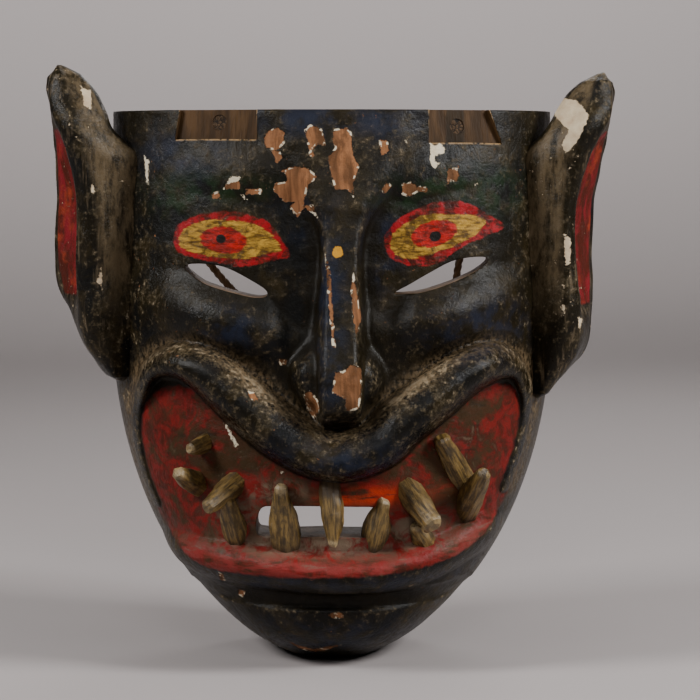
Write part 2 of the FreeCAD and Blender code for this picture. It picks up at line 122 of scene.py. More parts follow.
def smooth(value, low, high):
    """0 below low, 1 above high, and a smooth step between."""
    t = np.clip((value - low) / (high - low), 0.0, 1.0)
    return t * t * (3.0 - 2.0 * t)


def along(profile, at):
    """Smooth values at places on a profile of (place, value) points in rising order."""
    places = np.array([p[0] for p in profile], float)
    values = np.array([p[1] for p in profile], float)
    slopes = np.gradient(values, places)
    slopes[0] = (values[1] - values[0]) / (places[1] - places[0])
    slopes[-1] = (values[-1] - values[-2]) / (places[-1] - places[-2])
    at = np.clip(at, places[0], places[-1])
    k = np.clip(np.searchsorted(places, at, side="right") - 1, 0, len(places) - 2)
    span = places[k + 1] - places[k]
    t = (at - places[k]) / span
    curve = (2 * t**3 - 3 * t**2 + 1) * values[k] + (3 * t**2 - 2 * t**3) * values[k + 1]
    return curve + span * ((t**3 - 2 * t**2 + t) * slopes[k] + (t**3 - t**2) * slopes[k + 1])


def between(p0, p1, p2, p3, t):
    """The place a share t of the way from p1 to p2, on a smooth curve through all four points."""
    return 0.5 * (2 * p1 + (p2 - p0) * t + (2 * p0 - 5 * p1 + 4 * p2 - p3) * t**2
                  + (3 * p1 - p0 - 3 * p2 + p3) * t**3)


def rounded(row, steps):
    """A smooth path along a row of points, from its second to its last but one."""
    return [between(*row[i:i + 4], k / steps) for i in range(len(row) - 3) for k in range(steps)]


def rounded_path(points, steps=6):
    """A smooth path through a few points."""
    points = np.array(points, float)
    row = np.vstack([2 * points[0] - points[1], points, 2 * points[-1] - points[-2]])
    return np.array([*rounded(row, steps), points[-1]])


def rounded_loop(points, steps=6):
    """A smooth closed loop through a few points."""
    points = np.array(points, float)
    return np.array(rounded(np.vstack([points[-1:], points, points[:2]]), steps))


def distance_to_path(x, z, path):
    """Distance of each point to a path of (x, z) points."""
    best = np.full(np.shape(x), 1e9)
    for (ax, az), (bx, bz) in zip(path[:-1], path[1:]):
        ux, uz = bx - ax, bz - az
        t = np.clip(((x - ax) * ux + (z - az) * uz) / (ux * ux + uz * uz + 1e-12), 0.0, 1.0)
        best = np.minimum(best, np.hypot(x - ax - t * ux, z - az - t * uz))
    return best


def inside_outline(x, z, outline):
    """Signed distance to a closed outline: positive inside."""
    closed = np.vstack([outline, outline[:1]])
    inside = np.zeros(np.shape(x), bool)
    for (ax, az), (bx, bz) in zip(closed[:-1], closed[1:]):
        crosses = (az > z) != (bz > z)
        place = ax + (z - az) * (bx - ax) / (bz - az if bz != az else 1e-9)
        inside ^= crosses & (x < place)
    reach = distance_to_path(x, z, closed)
    return np.where(inside, reach, -reach)


def inside_any(x, z, outlines):
    """Signed distance into whichever outline is nearest: positive inside it."""
    best = np.full(x.shape, FAR_OUTSIDE)
    for outline in outlines:
        best = np.maximum(best, inside_outline(x, z, np.array(outline, float)))
    return best


def turned(x, z, centre, tilt):
    """Coordinates along and across a direction tilted by so many degrees."""
    turn = math.radians(tilt)
    dx, dz = x - centre[0], z - centre[1]
    return dx * math.cos(turn) + dz * math.sin(turn), dz * math.cos(turn) - dx * math.sin(turn)


def mound(x, z, centre, radii, tilt=0.0):
    """A soft elliptical mound of height 1."""
    a, b = turned(x, z, centre, tilt)
    return np.maximum(0.0, 1.0 - (a / radii[0]) ** 2 - (b / radii[1]) ** 2) ** 2


def half_round(distance, half_width):
    """Height of a half round of height 1, at a distance from its middle."""
    return np.sqrt(np.maximum(0.0, 1.0 - (distance / half_width) ** 2))


LATTICE_SIZE = 32
LATTICE = np.random.default_rng(7).random((LATTICE_SIZE,) * 3) * 2.0 - 1.0


def noise(points, scale, shift=0.0):
    """Smooth random values from -1 to 1, with bumps about one scale across."""
    p = np.asarray(points, float) / scale + shift
    cell = np.floor(p).astype(int)
    t = p - cell
    t = t * t * (3.0 - 2.0 * t)
    total = np.zeros(p.shape[:-1])
    for corner in np.ndindex(2, 2, 2):
        i, j, k = ((cell[..., n] + corner[n]) % LATTICE_SIZE for n in range(3))
        x, y, z = (t[..., n] if corner[n] else 1 - t[..., n] for n in range(3))
        total += LATTICE[i, j, k] * (x * y * z)
    return total


# ---------------------------------------------------------------- the carving, in millimetres

TOP, CHIN = 108.0, -113.5
HALF_WIDTH, WIDEST, JAW_REACH, FULLNESS = 92.0, 20.0, 137.2, 2.6
FACE_DEPTH = [
    (-113.5, 46), (-108, 56), (-95, 69), (-72, 79), (-40, 80), (-10, 76), (30, 72), (70, 67), (108, 59),
]
HOLLOW_DEPTH = [(-97, 16), (-88, 34), (-70, 50), (-40, 55), (0, 55), (50, 53), (80, 44), (93, 22)]
RIM_WALL = 10.0
LIP_HEIGHT, MOUTH_DEPTH = 17.0, 15.0
RIM_HALF_WIDTH, RIM_RISE = 2.4, 0.1

UPPER_LIP = rounded_path([
    (-71, -50), (-76, -38), (-79, -22), (-77, -6), (-72, 5), (-62, 9), (-51, 6), (-43, 0), (-34, -7),
    (-18, -19), (1, -27), (19, -22), (28, -14), (42, -4), (55, 5), (66, 8), (75, 5), (79, -5), (78, -18),
    (75, -30), (70, -43),
])
LIP_HALF_WIDTH = [
    (-79, 3), (-62, 7.5), (-50, 10), (-34, 11.5), (1, 11), (28, 11.5), (55, 10), (66, 8.5), (79, 3),
]
LIP_RISE = [(-79, 0.25), (-72, 0.7), (-60, 1), (-50, 1), (50, 1), (60, 1), (72, 0.7), (79, 0.25)]
MOUTH_FLOOR = rounded_path([
    (68, -47), (62, -54), (48, -60), (27, -63), (4, -65), (-16, -64), (-31, -63), (-52, -63), (-63, -59),
    (-68, -54),
])
MOUTH = np.vstack([UPPER_LIP, MOUTH_FLOOR])
LOWER_LIP = rounded_path([(-62, -69), (-31, -70), (4, -73), (35, -70), (62, -60)])
CHIN_CREASE = rounded_path([(-54, -83), (-20, -84), (20, -84.5), (54, -83)])

NOSE_MIDDLE = [(-13, 4), (30, 4), (84, 5)]
NOSE_HEIGHT = [(-16, 0), (-10, 15), (2, 19), (20, 15), (45, 10), (70, 7), (90, 5), (108, 4)]
NOSE_FLAT = [(-13, 5.5), (45, 5.5), (70, 7), (88, 14), (108, 20)]
NOSE_BASE = [(-13, 11), (2, 15), (30, 11), (62, 12), (88, 34), (108, 44)]
NOSE_PAD = rounded_loop([
    (-4, 32), (-11, 20), (-17, 12), (-18, 5), (-16, -2), (-12, -8), (-5, -12.5), (4, -14.5), (12, -12.5),
    (18, -8), (22, -2), (23, 5), (21, 12), (17, 20), (12, 32),
])
NOSE_VALLEYS = ((-15, 44), (24, 45))

EYES = (
    {
        "eye": (-39, 57), "tilt": -11, "cheek": (-45, 26), "cheek_tilt": -15,
        "slit": [(-57.5, 46), (-55, 47.5), (-47, 47.5), (-40, 46), (-31, 41.5), (-25, 37.5), (-26, 35),
                 (-33, 35.5), (-48, 39.5), (-55, 43.5)],
    },
    {
        "eye": (44, 59), "tilt": 15, "cheek": (48, 28), "cheek_tilt": 14,
        "slit": [(25, 36.5), (31, 40), (39, 44.5), (47, 48.5), (54, 50), (61, 50), (62, 48), (57, 44.5),
                 (49, 41), (40, 38), (33, 36.5)],
    },
)
SLOT = [
    (-29, -56), (-27, -47), (-20, -46), (-8, -45.7), (8, -46), (18, -46.5), (21, -50), (20, -56), (16, -58),
    (-4, -57.7), (-24, -58),
]
HORN_SEATS = (
    {"middle": (-44.0, -52.6, 103.0), "width": 34.0, "turn": -19.0, "flare": (1.0, 0.0)},
    {"middle": (50.0, -50.2, 101.5), "width": 28.0, "turn": 22.0, "flare": (0.0, 4.5)},
)
SEAT_LEAN, SEAT_RISE = 8.0, 14.0
PEG_HOLE_RADIUS = 3.15


def half_width_at(z):
    """Half width of the head: straight sides above an elliptical jaw, with a small step under the lip."""
    drop = np.maximum(0.0, WIDEST - z) / JAW_REACH
    jaw = HALF_WIDTH * np.sqrt(np.maximum(0.0, 1.0 - drop * drop)) - np.maximum(0.0, z - WIDEST) / 90.0
    return jaw - 1.5 * (1.0 - smooth(z, -88.0, -83.0)) * smooth(z, -111.0, -98.0)


def lip_share(x, z):
    """1 along the lip itself and 0 on the thin rims that run down from its two ends."""
    return np.maximum(smooth(z, -18.0, -2.0), 1.0 - smooth(np.abs(x), 58.0, 66.0))


def lip_half_width(x, z):
    """Half width of the upper lip, or of the thin rims at its ends."""
    return RIM_HALF_WIDTH + (along(LIP_HALF_WIDTH, x) - RIM_HALF_WIDTH) * lip_share(x, z)


def upper_lip(x, z, floor):
    """The rolled upper lip: it rises from the face above it and from the mouth's floor below it."""
    reach = distance_to_path(x, z, UPPER_LIP)
    half_width = lip_half_width(x, z)
    foot = np.where(inside_outline(x, z, MOUTH) > 0, floor, 0.0)
    rise = RIM_RISE + (along(LIP_RISE, x) - RIM_RISE) * lip_share(x, z)
    roll = foot + (LIP_HEIGHT * rise - foot) * half_round(reach, half_width)
    return np.where(reach < half_width, np.maximum(floor, roll), floor)


def nose(x, z):
    """The nose: a flat-topped ridge that flares into the forehead and ends on a broad rounded pad."""
    off = np.abs(x - along(NOSE_MIDDLE, z))
    ridge = along(NOSE_HEIGHT, z) * (1.0 - smooth(off, along(NOSE_FLAT, z), along(NOSE_BASE, z)))
    pad = 12.0 * smooth(inside_outline(x, z, NOSE_PAD), 0.0, 8.0) * (1.0 - smooth(z, 6.0, 30.0))
    return np.maximum(ridge, pad)


def face_relief(x, z):
    """How far the carving stands in front of the plain head."""
    relief = np.zeros(np.shape(x))
    for side in EYES:
        relief -= 6.0 * mound(x, z, side["eye"], (40, 19), side["tilt"])
        relief += 6.0 * mound(x, z, side["eye"], (31, 13), side["tilt"])
        relief += 8.0 * mound(x, z, side["cheek"], (46, 18), side["cheek_tilt"])
    relief += 3.0 * mound(x, z, (2, 84), (75, 16))
    for valley in NOSE_VALLEYS:
        relief -= 4.0 * mound(x, z, valley, (11, 36))
    relief = np.maximum(relief, nose(x, z))
    edge = inside_outline(x, z, MOUTH)
    relief = np.where(edge > 0, -MOUTH_DEPTH * smooth(edge, 0.0, 6.0), relief)
    relief = upper_lip(x, z, relief)
    relief = np.maximum(relief, 9.0 * half_round(distance_to_path(x, z, LOWER_LIP), 9.0) ** 2)
    relief -= 3.0 * half_round(distance_to_path(x, z, CHIN_CREASE), 4.0)
    return relief + 4.0 * mound(x, z, (0, -98), (60, 13))


def bulge_at(across):
    """How far the head's cross section stands out, from 1 in the middle to 0 at the rim."""
    return np.sqrt(np.maximum(0.0, 1.0 - np.abs(across) ** FULLNESS))


def face_front(x, z):
    """The front surface's Y at a place on the face."""
    bulge = bulge_at(np.clip(x / half_width_at(z), -1.0, 1.0))
    return -along(FACE_DEPTH, z) * bulge - face_relief(x, z) * smooth(bulge, 0.0, 0.35)


# ---------------------------------------------------------------- meshes


def new_object(name, verts, faces, material, smooth_shading=True):
    """A mesh object from points in millimetres."""
    mesh = bpy.data.meshes.new(name)
    mesh.from_pydata((np.asarray(verts) * MM).tolist(), [], faces)
    mesh.validate()
    mesh.materials.append(material)
    mesh.polygons.foreach_set("use_smooth", [smooth_shading] * len(mesh.polygons))
    made = bpy.data.objects.new(name, mesh)
    bpy.context.scene.collection.objects.link(made)
    recalculate(made)
    return made


def recalculate(target):
    """Point a closed mesh's faces outwards."""
    work = bmesh.new()
    work.from_mesh(target.data)
    bmesh.ops.recalc_face_normals(work, faces=work.faces)
    work.to_mesh(target.data)
    work.free()


def points_of(mesh):
    """A mesh's points, in millimetres."""
    points = np.empty(len(mesh.vertices) * 3)
    mesh.vertices.foreach_get("co", points)
    return points.reshape(-1, 3) / MM


def set_value(mesh, name, values):
    """Keep one number at each point of a mesh, for its material."""
    layer = mesh.attributes.new(name, "FLOAT", "POINT")
    layer.data.foreach_set("value", np.asarray(values, np.float32))


def ring_faces(rings, around, start=0):
    """Faces between rings of so many points, one ring after another."""
    faces = []
    for r in range(start, start + (rings - 1) * around, around):
        for c in range(around):
            d = (c + 1) % around
            faces.append((r + c, r + d, r + around + d, r + around + c))
    return faces


def bowl(name, rows, columns, heights, surface, material):
    """A closed solid, flat at the back, top and bottom, whose front is a grid of points."""
    z = heights[:, None] * np.ones((1, columns + 1))
    across = np.sin(np.pi * (np.linspace(0.0, 1.0, columns + 1) - 0.5))[None, :] * np.ones((rows + 1, 1))
    x, y = surface(across, z)
    verts = np.stack([x, y, z], axis=-1).reshape(-1, 3)
    width = columns + 1
    faces = []
    for r in range(rows):
        for c in range(columns):
            a = r * width + c
            faces.append((a, a + 1, a + width + 1, a + width))
        faces.append((r * width, (r + 1) * width, (r + 1) * width + columns, r * width + columns))
    faces.append(tuple(range(columns, -1, -1)))
    faces.append(tuple(range(rows * width, rows * width + width)))
    return new_object(name, verts, faces, material)


def cut(target, tool):
    """Cut one closed mesh from another and drop the tool."""
    step = target.modifiers.new("cut", "BOOLEAN")
    step.operation = "DIFFERENCE"
    step.solver = "MANIFOLD"
    step.material_mode = "TRANSFER"
    step.object = tool
    bpy.context.view_layer.objects.active = target
    bpy.ops.object.modifier_apply(modifier=step.name)
    bpy.data.objects.remove(tool, do_unlink=True)


def prism(name, outline, y_front, y_back, material):
    """A closed outline of (x, z) points, as a solid along Y."""
    count = len(outline)
    verts = [(x, y, z) for y in (y_front, y_back) for x, z in outline]
    faces = [tuple(range(count)), tuple(range(2 * count - 1, count - 1, -1))]
    for i in range(count):
        j = (i + 1) % count
        faces.append((i, i + count, j + count, j))
    return new_object(name, verts, faces, material, False)


def outer_surface(across, z):
    """The carved outside, with its rim edge rounded over by wear."""
    half = half_width_at(z)
    bulge = bulge_at(across)
    x = half * across
    y = -along(FACE_DEPTH, z) * bulge - face_relief(x, z) * smooth(bulge, 0.0, 0.35)
    spots = np.stack([x, y, z], axis=-1)
    carved = 0.35 * noise(spots, 9.0) + 0.16 * noise(spots, 3.5, 5.0)
    y = y - carved * smooth(bulge, 0.05, 0.4)
    worn = 2.0 * (1.0 - np.sqrt(np.maximum(0.0, 1.0 - np.maximum(0.0, 1.0 + y / 2.0) ** 2)))
    return x - np.sign(across) * worn, y


def inner_surface(across, z):
    """The hollow, cut with a gouge and left rough."""
    half = half_width_at(z) - RIM_WALL
    bulge = bulge_at(across)
    x = half * across
    y = 2.0 - (along(HOLLOW_DEPTH, z) + 2.0) * bulge
    spots = np.stack([x, y * 0.6, z], axis=-1)
    gouged = np.abs(noise(spots, 11.0, 3.0)) * 1.6 + 0.4 * noise(spots, 5.0, 9.0)
    return x, y + (gouged - 0.8) * smooth(bulge, 0.1, 0.5)


def seat_frame(seat):
    """Axes of a horn seat: X across it, -Y out of it."""
    turn = Matrix.Rotation(math.radians(seat["turn"]), 3, "Z")
    return turn @ Matrix.Rotation(math.radians(-SEAT_LEAN), 3, "X")


def seat_tool(seat, material):
    """The block of wood that is cut away to make a horn seat."""
    axes = seat_frame(seat)
    middle = Vector(seat["middle"])
    half = seat["width"] / 2
    left, right = -half - seat["flare"][0], half + seat["flare"][1]
    low, high = -SEAT_RISE / 2, SEAT_RISE / 2
    corners = ((left, low), (right, low), (half - 1, high), (-half + 1, high))
    verts = [tuple(middle + axes @ Vector((dx, dy, dz))) for dy in (-20.0, 0.0) for dx, dz in corners]
    faces = [(0, 1, 2, 3), (7, 6, 5, 4), (0, 4, 5, 1), (1, 5, 6, 2), (2, 6, 7, 3), (3, 7, 4, 0)]
    return new_object("seat_tool", verts, faces, material, False)


def peg_hole_tool(seat, material):
    """A round bar, a little wider than the broken peg, that opens its hole in the seat."""
    axes = seat_frame(seat)
    middle = Vector(seat["middle"])
    turns = np.arange(20) * math.pi / 10
    ring = [(PEG_HOLE_RADIUS * math.cos(turn), PEG_HOLE_RADIUS * math.sin(turn)) for turn in turns]
    verts = [tuple(middle + axes @ Vector((dx, dy, dz))) for dy in (-4.0, 8.0) for dx, dz in ring]
    faces = [tuple(range(20)), tuple(range(39, 19, -1)), *ring_faces(2, 20)]
    return new_object("peg_hole_tool", verts, faces, material, False)


def face_shell(paint, wood, seat_wood):
    """The carved face: outside, hollow, eye slits, mouth slot and horn seats."""
    rows, columns = 240, 290
    steps = np.linspace(0.0, 1.0, rows + 1)
    heights = CHIN + (TOP - CHIN) * (0.85 * steps + 0.15 * (1.0 - np.cos(0.5 * np.pi * steps)))
    face = bowl("face_shell_carved", rows, columns, heights, outer_surface, paint)
    inner_heights = np.linspace(HOLLOW_DEPTH[0][0], HOLLOW_DEPTH[-1][0], 91)
    cut(face, bowl("hollow", 90, 100, inner_heights, inner_surface, wood))
    for side in EYES:
        cut(face, prism("slit", rounded_loop(side["slit"]), -95.0, -30.0, wood))
    cut(face, prism("slot", rounded_loop(SLOT), -90.0, -40.0, wood))
    for seat in HORN_SEATS:
        cut(face, seat_tool(seat, seat_wood))
        cut(face, peg_hole_tool(seat, wood))
    return face


# ---------------------------------------------------------------- paint, chips, dirt, painted shade and painted sheen on the face

RED_MOUTH = rounded_loop([
    (79, -8), (78, -26), (74, -42), (66, -55), (52, -66), (30, -71), (4, -73), (-30, -73), (-50, -72),
    (-62, -65), (-72, -52), (-78, -36), (-80, -20), (-60, 0), (0, -20), (60, 0),
])
EYE_PAINT = (
    {
        "red": [(-62, 55), (-61, 62), (-54, 66), (-45, 68), (-36, 68), (-29, 66), (-23, 63), (-16, 52),
                (-19, 50), (-33, 47), (-43, 48), (-58, 51)],
        "yellow": [(-60, 56), (-58, 61), (-51, 64), (-43, 65), (-33, 64), (-27, 62), (-22, 58), (-19, 53),
                   (-25, 52), (-33, 50), (-44, 50), (-57, 53)],
        "iris": (-42, 57), "iris_size": (9.2, 5.2), "iris_tilt": -6,
        "pupil": (-43, 57.5), "pupil_size": (2.0, 1.8),
    },
    {
        "red": [(21, 57), (25, 64), (33, 69), (42, 72), (52, 72), (60, 68), (69, 62), (61, 58), (51, 54),
                (42, 48), (32, 47), (24, 50)],
        "yellow": [(24, 53), (24, 59), (30, 64), (38, 67), (48, 67), (61, 65), (57, 59), (49, 55), (40, 52),
                   (31, 50)],
        "iris": (40.5, 59.5), "iris_size": (9.2, 5.0), "iris_tilt": 15,
        "pupil": (41, 58.5), "pupil_size": (2.4, 2.0),
    },
)
# Places where the paint has come off, as outlines of (x, z).
CHIPS = [
    [(-25, 99), (-21, 101), (-18, 99), (-18, 95), (-21, 92), (-25, 93), (-26, 96)],
    [(-23, 92), (-20, 92), (-19, 89), (-21, 87)],
    [(-10, 100), (-8, 102), (-3, 100), (-2, 94), (-4, 94), (-5, 95), (-7, 92), (-6, 89), (-8, 90),
     (-9, 96)],
    [(1, 100), (6, 101), (8, 99), (9, 90), (11, 86), (9, 80), (9, 74), (7, 77), (2, 77), (0, 84), (-1, 89),
     (2, 93), (1, 96)],
    [(-19, 84), (-14, 86), (-9, 85), (-5, 82), (-9, 78), (-11, 69), (-13, 66), (-16, 70), (-14, 72),
     (-18, 72), (-22, 76), (-22, 79), (-17, 80), (-17, 83)],
    [(-11, 70), (-7, 71), (-5, 66), (-7, 68)],
    [(-42, 77), (-39, 81), (-36, 81), (-35, 77)],
    [(-47, 75), (-44, 76), (-43, 73), (-46, 73)],
    [(-33, 77), (-27, 77), (-27, 75), (-33, 75)],
    [(19, 96), (22, 96), (23, 92), (20, 90)],
    [(22, 80), (24, 78), (21, 75), (20, 77)],
    [(28, 79), (31, 80), (34, 78), (37, 78), (39, 76), (34, 76), (31, 74), (28, 75)],
    [(46, 85), (50, 85), (50, 80), (46, 80)],
    [(-2, 54), (-1, 38), (1, 17), (2, 17), (1, 30), (0, 45)],
    [(9, 45), (11, 34), (12, 28), (10, 21), (9, 27), (8, 39)],
    [(1, 0), (2, 8), (5, 8), (8, 11), (12, 9), (12, 2), (11, -6), (6, -7), (6, -2)],
    [(-10, -1), (-8, 0), (-5, -3), (-4, -6), (-6, -12), (-9, -8)],
    [(-32, 0), (-29, -1), (-27, -4), (-30, -3)],
    [(-44, -73), (-42, -74), (-42, -78), (-44, -78)],
    [(-37, -82), (-34, -82), (-35, -85), (-37, -84)],
    [(0, -89), (5, -89), (5, -91), (0, -91)],
    [(-17, -103), (-13, -105), (-7, -107), (-1, -105), (4, -104), (-1, -107), (-7, -109), (-13, -107)],
    [(-20, 11), (-17, 11), (-17, 9), (-20, 9)],
]
# Places where white gesso shows, as outlines of (x, z).
GESSO = [
    [(39, 95), (41, 94), (43, 95), (45, 93), (45, 91), (41, 90), (41, 88), (43, 87), (41, 85),
     (39, 87), (39, 91)],
    [(-41, 79), (-39, 82), (-35, 82), (-36, 80)],
    [(-35, 75), (-32, 73), (-34, 73)],
    [(56, 79), (58, 79), (57, 78)],
    [(-75, 90), (-73, 88), (-73, 78), (-74, 80)],
    [(-42, -14), (-41, -14), (-36, -23), (-37, -24)],
    [(-20, -32), (-18, -32), (-19, -33)],
    [(-4, -37), (-2, -37), (-3, -38)],
    [(-10, 0), (-9, -5), (-5, -12), (-8, -8)],
    [(29, 97), (30, 97), (30, 95), (29, 95)],
]
# Soft patches of colour, dirt and painted bluish sheen, as (x, z, half width, half height).
PATCHES = {
    "green": ((-48, 77, 22, 5), (-60, 74, 10, 8), (46, 79, 18, 5), (63, 76, 12, 9), (28, 74, 10, 5)),
    "blue": (
        (-12, 66, 9, 8), (-6, 104, 30, 7), (20, 103, 16, 7), (-60, 90, 16, 10), (20, 55, 7, 20),
        (-20, -76, 34, 4), (30, -76, 34, 4), (0, 30, 6, 40), (58, 22, 20, 12), (-40, 22, 12, 8),
        (0, -100, 30, 8), (0, -30, 50, 9),
    ),
    "tan": (
        (-24, 6, 16, 14), (30, 6, 14, 14), (-84, 50, 14, 60), (88, 50, 14, 60), (10, 92, 50, 14),
        (0, -86, 60, 3),
    ),
    "deep": ((-36, -28, 26, 24), (40, -26, 24, 24), (0, -48, 50, 14)),
    "roof": ((18, -42, 16, 3.5), (4, -43, 8, 2.5)),
    "shelf": ((0, -61, 44, 4), (-22, -40, 12, 4), (-38, -50, 8, 8), (33, -55, 12, 7)),
}


def oval(x, z, middle, size, tilt):
    """Signed distance into an ellipse, near enough."""
    a, b = turned(x, z, middle, tilt)
    return (1.0 - np.sqrt((a / size[0]) ** 2 + (b / size[1]) ** 2)) * min(size)


def patches(x, z, places):
    """How strongly each point lies in one of some soft patches."""
    total = np.zeros(np.shape(x))
    for px, pz, width, height in places:
        total = np.maximum(total, np.exp(-(((x - px) / width) ** 2) - ((z - pz) / height) ** 2))
    return total


def mark_face(mesh):
    """Keep, at each point of the face, how far it is inside each painted or worn area, and how far it sits
    in a hollow, where painted shade goes, or on a ridge.
    """
    points = points_of(mesh)
    x, y, z = points.T
    front = face_front(x, z)
    ring = [(2.2 * math.cos(a), 2.2 * math.sin(a)) for a in np.arange(6) * math.pi / 3]
    around, wide = (
        sum(face_front(x + reach * dx, np.clip(z + reach * dz, CHIN, TOP)) for dx, dz in ring) / 6
        for reach in (1.0, 2.6)
    )
    depth = np.minimum(-y, 50.0) / along(FACE_DEPTH, z)
    head_side = half_width_at(z) * np.maximum(0.0, 1.0 - depth**2) ** (1.0 / FULLNESS)
    off_side = np.where(y > -50.0, np.abs(head_side - np.abs(x)), -FAR_OUTSIDE)
    steep = smooth(bulge_at(np.clip(x / half_width_at(z), -1.0, 1.0)), 0.25, 0.5)
    lip = 0.86 * lip_half_width(x, z) - distance_to_path(x, z, UPPER_LIP)
    ledge = np.exp(-(((lip + 1.0) / 3.4) ** 2))
    seat_edge = np.full(x.shape, -FAR_OUTSIDE)
    for seat in HORN_SEATS:
        local = (points - np.array(seat["middle"])) @ np.array(seat_frame(seat))
        lean = np.where(local[:, 0] < 0, *seat["flare"]) * (SEAT_RISE / 2 - local[:, 2]) / SEAT_RISE
        beside = np.abs(local[:, 0]) - seat["width"] / 2 + 1 - lean
        seat_edge = np.minimum(seat_edge, np.maximum(beside, -local[:, 2] - SEAT_RISE / 2))
    marks = {
        "ridge": np.clip((around - front) * 2.2, -1.0, 1.0) * steep,
        # How far each point sits in a hollow: the face material darkens these hollows as painted shade.
        "valley": np.clip((front - wide) * 0.55, -1.0, 1.0) * steep,
        "skin": np.minimum(np.abs(y - front), off_side),
        "mouth": np.minimum(inside_outline(x, z, RED_MOUTH), -lip),
        "lip": lip,
        "pink": np.exp(-((distance_to_path(x, z, LOWER_LIP + [0, 1.5]) / 5.5) ** 2)),
        "lip_top": np.where(inside_outline(x, z, MOUTH) < -2.0, ledge, 0.0),
        "eye_red": inside_any(x, z, [rounded_loop(eye["red"]) for eye in EYE_PAINT]),
        "eye_yellow": inside_any(x, z, [rounded_loop(eye["yellow"]) for eye in EYE_PAINT]),
        "chip": inside_any(x, z, CHIPS),
        "gesso": inside_any(x, z, GESSO),
        "yellow_dot": oval(x, z, (3, 53), (2.0, 2.2), 0),
        "seat_edge": seat_edge,
    }
    for name in ("iris", "pupil"):
        ovals = [oval(x, z, eye[name], eye[f"{name}_size"], eye["iris_tilt"]) for eye in EYE_PAINT]
        marks[name] = np.maximum(*ovals)
    for name, places in PATCHES.items():
        marks[name] = patches(x, z, places)
    for name, values in marks.items():
        set_value(mesh, name, values)


# ---------------------------------------------------------------- ears

# Per side, by height: outer edge, inner root, crest of the front edge, and outer edge of the front rim.
EARS = {
    "left": {
        "outer": [(-2, 90), (1, 95), (7, 100), (13, 104), (23, 108), (36, 114), (50, 115), (73, 114),
                  (94, 115), (110, 116.3), (122, 116.3), (127, 113)],
        "root": [(-2, 80), (30, 80), (60, 80), (80, 80), (90, 80), (96, 87), (101, 92), (108, 94.5),
                 (116, 98.6), (122, 104), (127, 109)],
        "crest": [(-2, 86), (20, 92), (40, 93.5), (60, 94), (82, 96.5), (102, 100.7), (118, 107),
                  (127, 110.5)],
        "rim": [(-2, 88), (15, 99), (31, 102), (47, 102.5), (65, 102), (82, 103.4), (92, 106), (103, 110),
                (118, 113.5), (127, 112)],
        "red": (33, 101), "bottom": -2.0, "top": 126.6,
    },
    "right": {
        "outer": [(-9, 87), (-6, 90), (-1, 95), (6, 103), (13, 107), (19, 108), (57, 108), (73, 109),
                  (87, 112), (102, 115), (110, 116), (118, 116), (124, 113)],
        "root": [(-9, 80), (30, 80), (60, 80), (80, 80.5), (92, 82), (98, 88), (103, 92), (109, 95),
                 (116, 100), (121, 106), (124, 109)],
        "crest": [(-9, 84), (20, 92), (60, 93.5), (80, 95), (95, 98), (105, 101.5), (118, 107), (124, 110)],
        "rim": [(-9, 86), (10, 98), (28, 100.5), (42, 99.2), (70, 98.6), (79, 100.4), (90, 103.7),
                (102, 110), (114, 113), (124, 112)],
        "red": (29, 100), "bottom": -9.0, "top": 123.6,
    },
}
EAR_CHIPS = {
    "left": [[(-101, 118), (-97, 116), (-96, 108), (-99, 110)], [(-96, 74), (-95, 80), (-94, 76)],
             [(-94, 40), (-92, 46), (-92, 36)]],
    "right": [[(91, 114), (99, 112), (103, 106), (99, 97), (94, 90), (92, 94), (95, 100), (90, 106)],
              [(93, 59), (96, 57), (96, 47), (94, 46)], [(92, 39), (94, 38), (93, 36)],
              [(99, 26), (102, 24), (100, 20)], [(92, 30), (94, 31), (93, 23)]],
}


# Depth that an ear thins towards, and points of its outline between two of its knots.
EAR_MIDDLE, EAR_STEPS = -23.0, 8


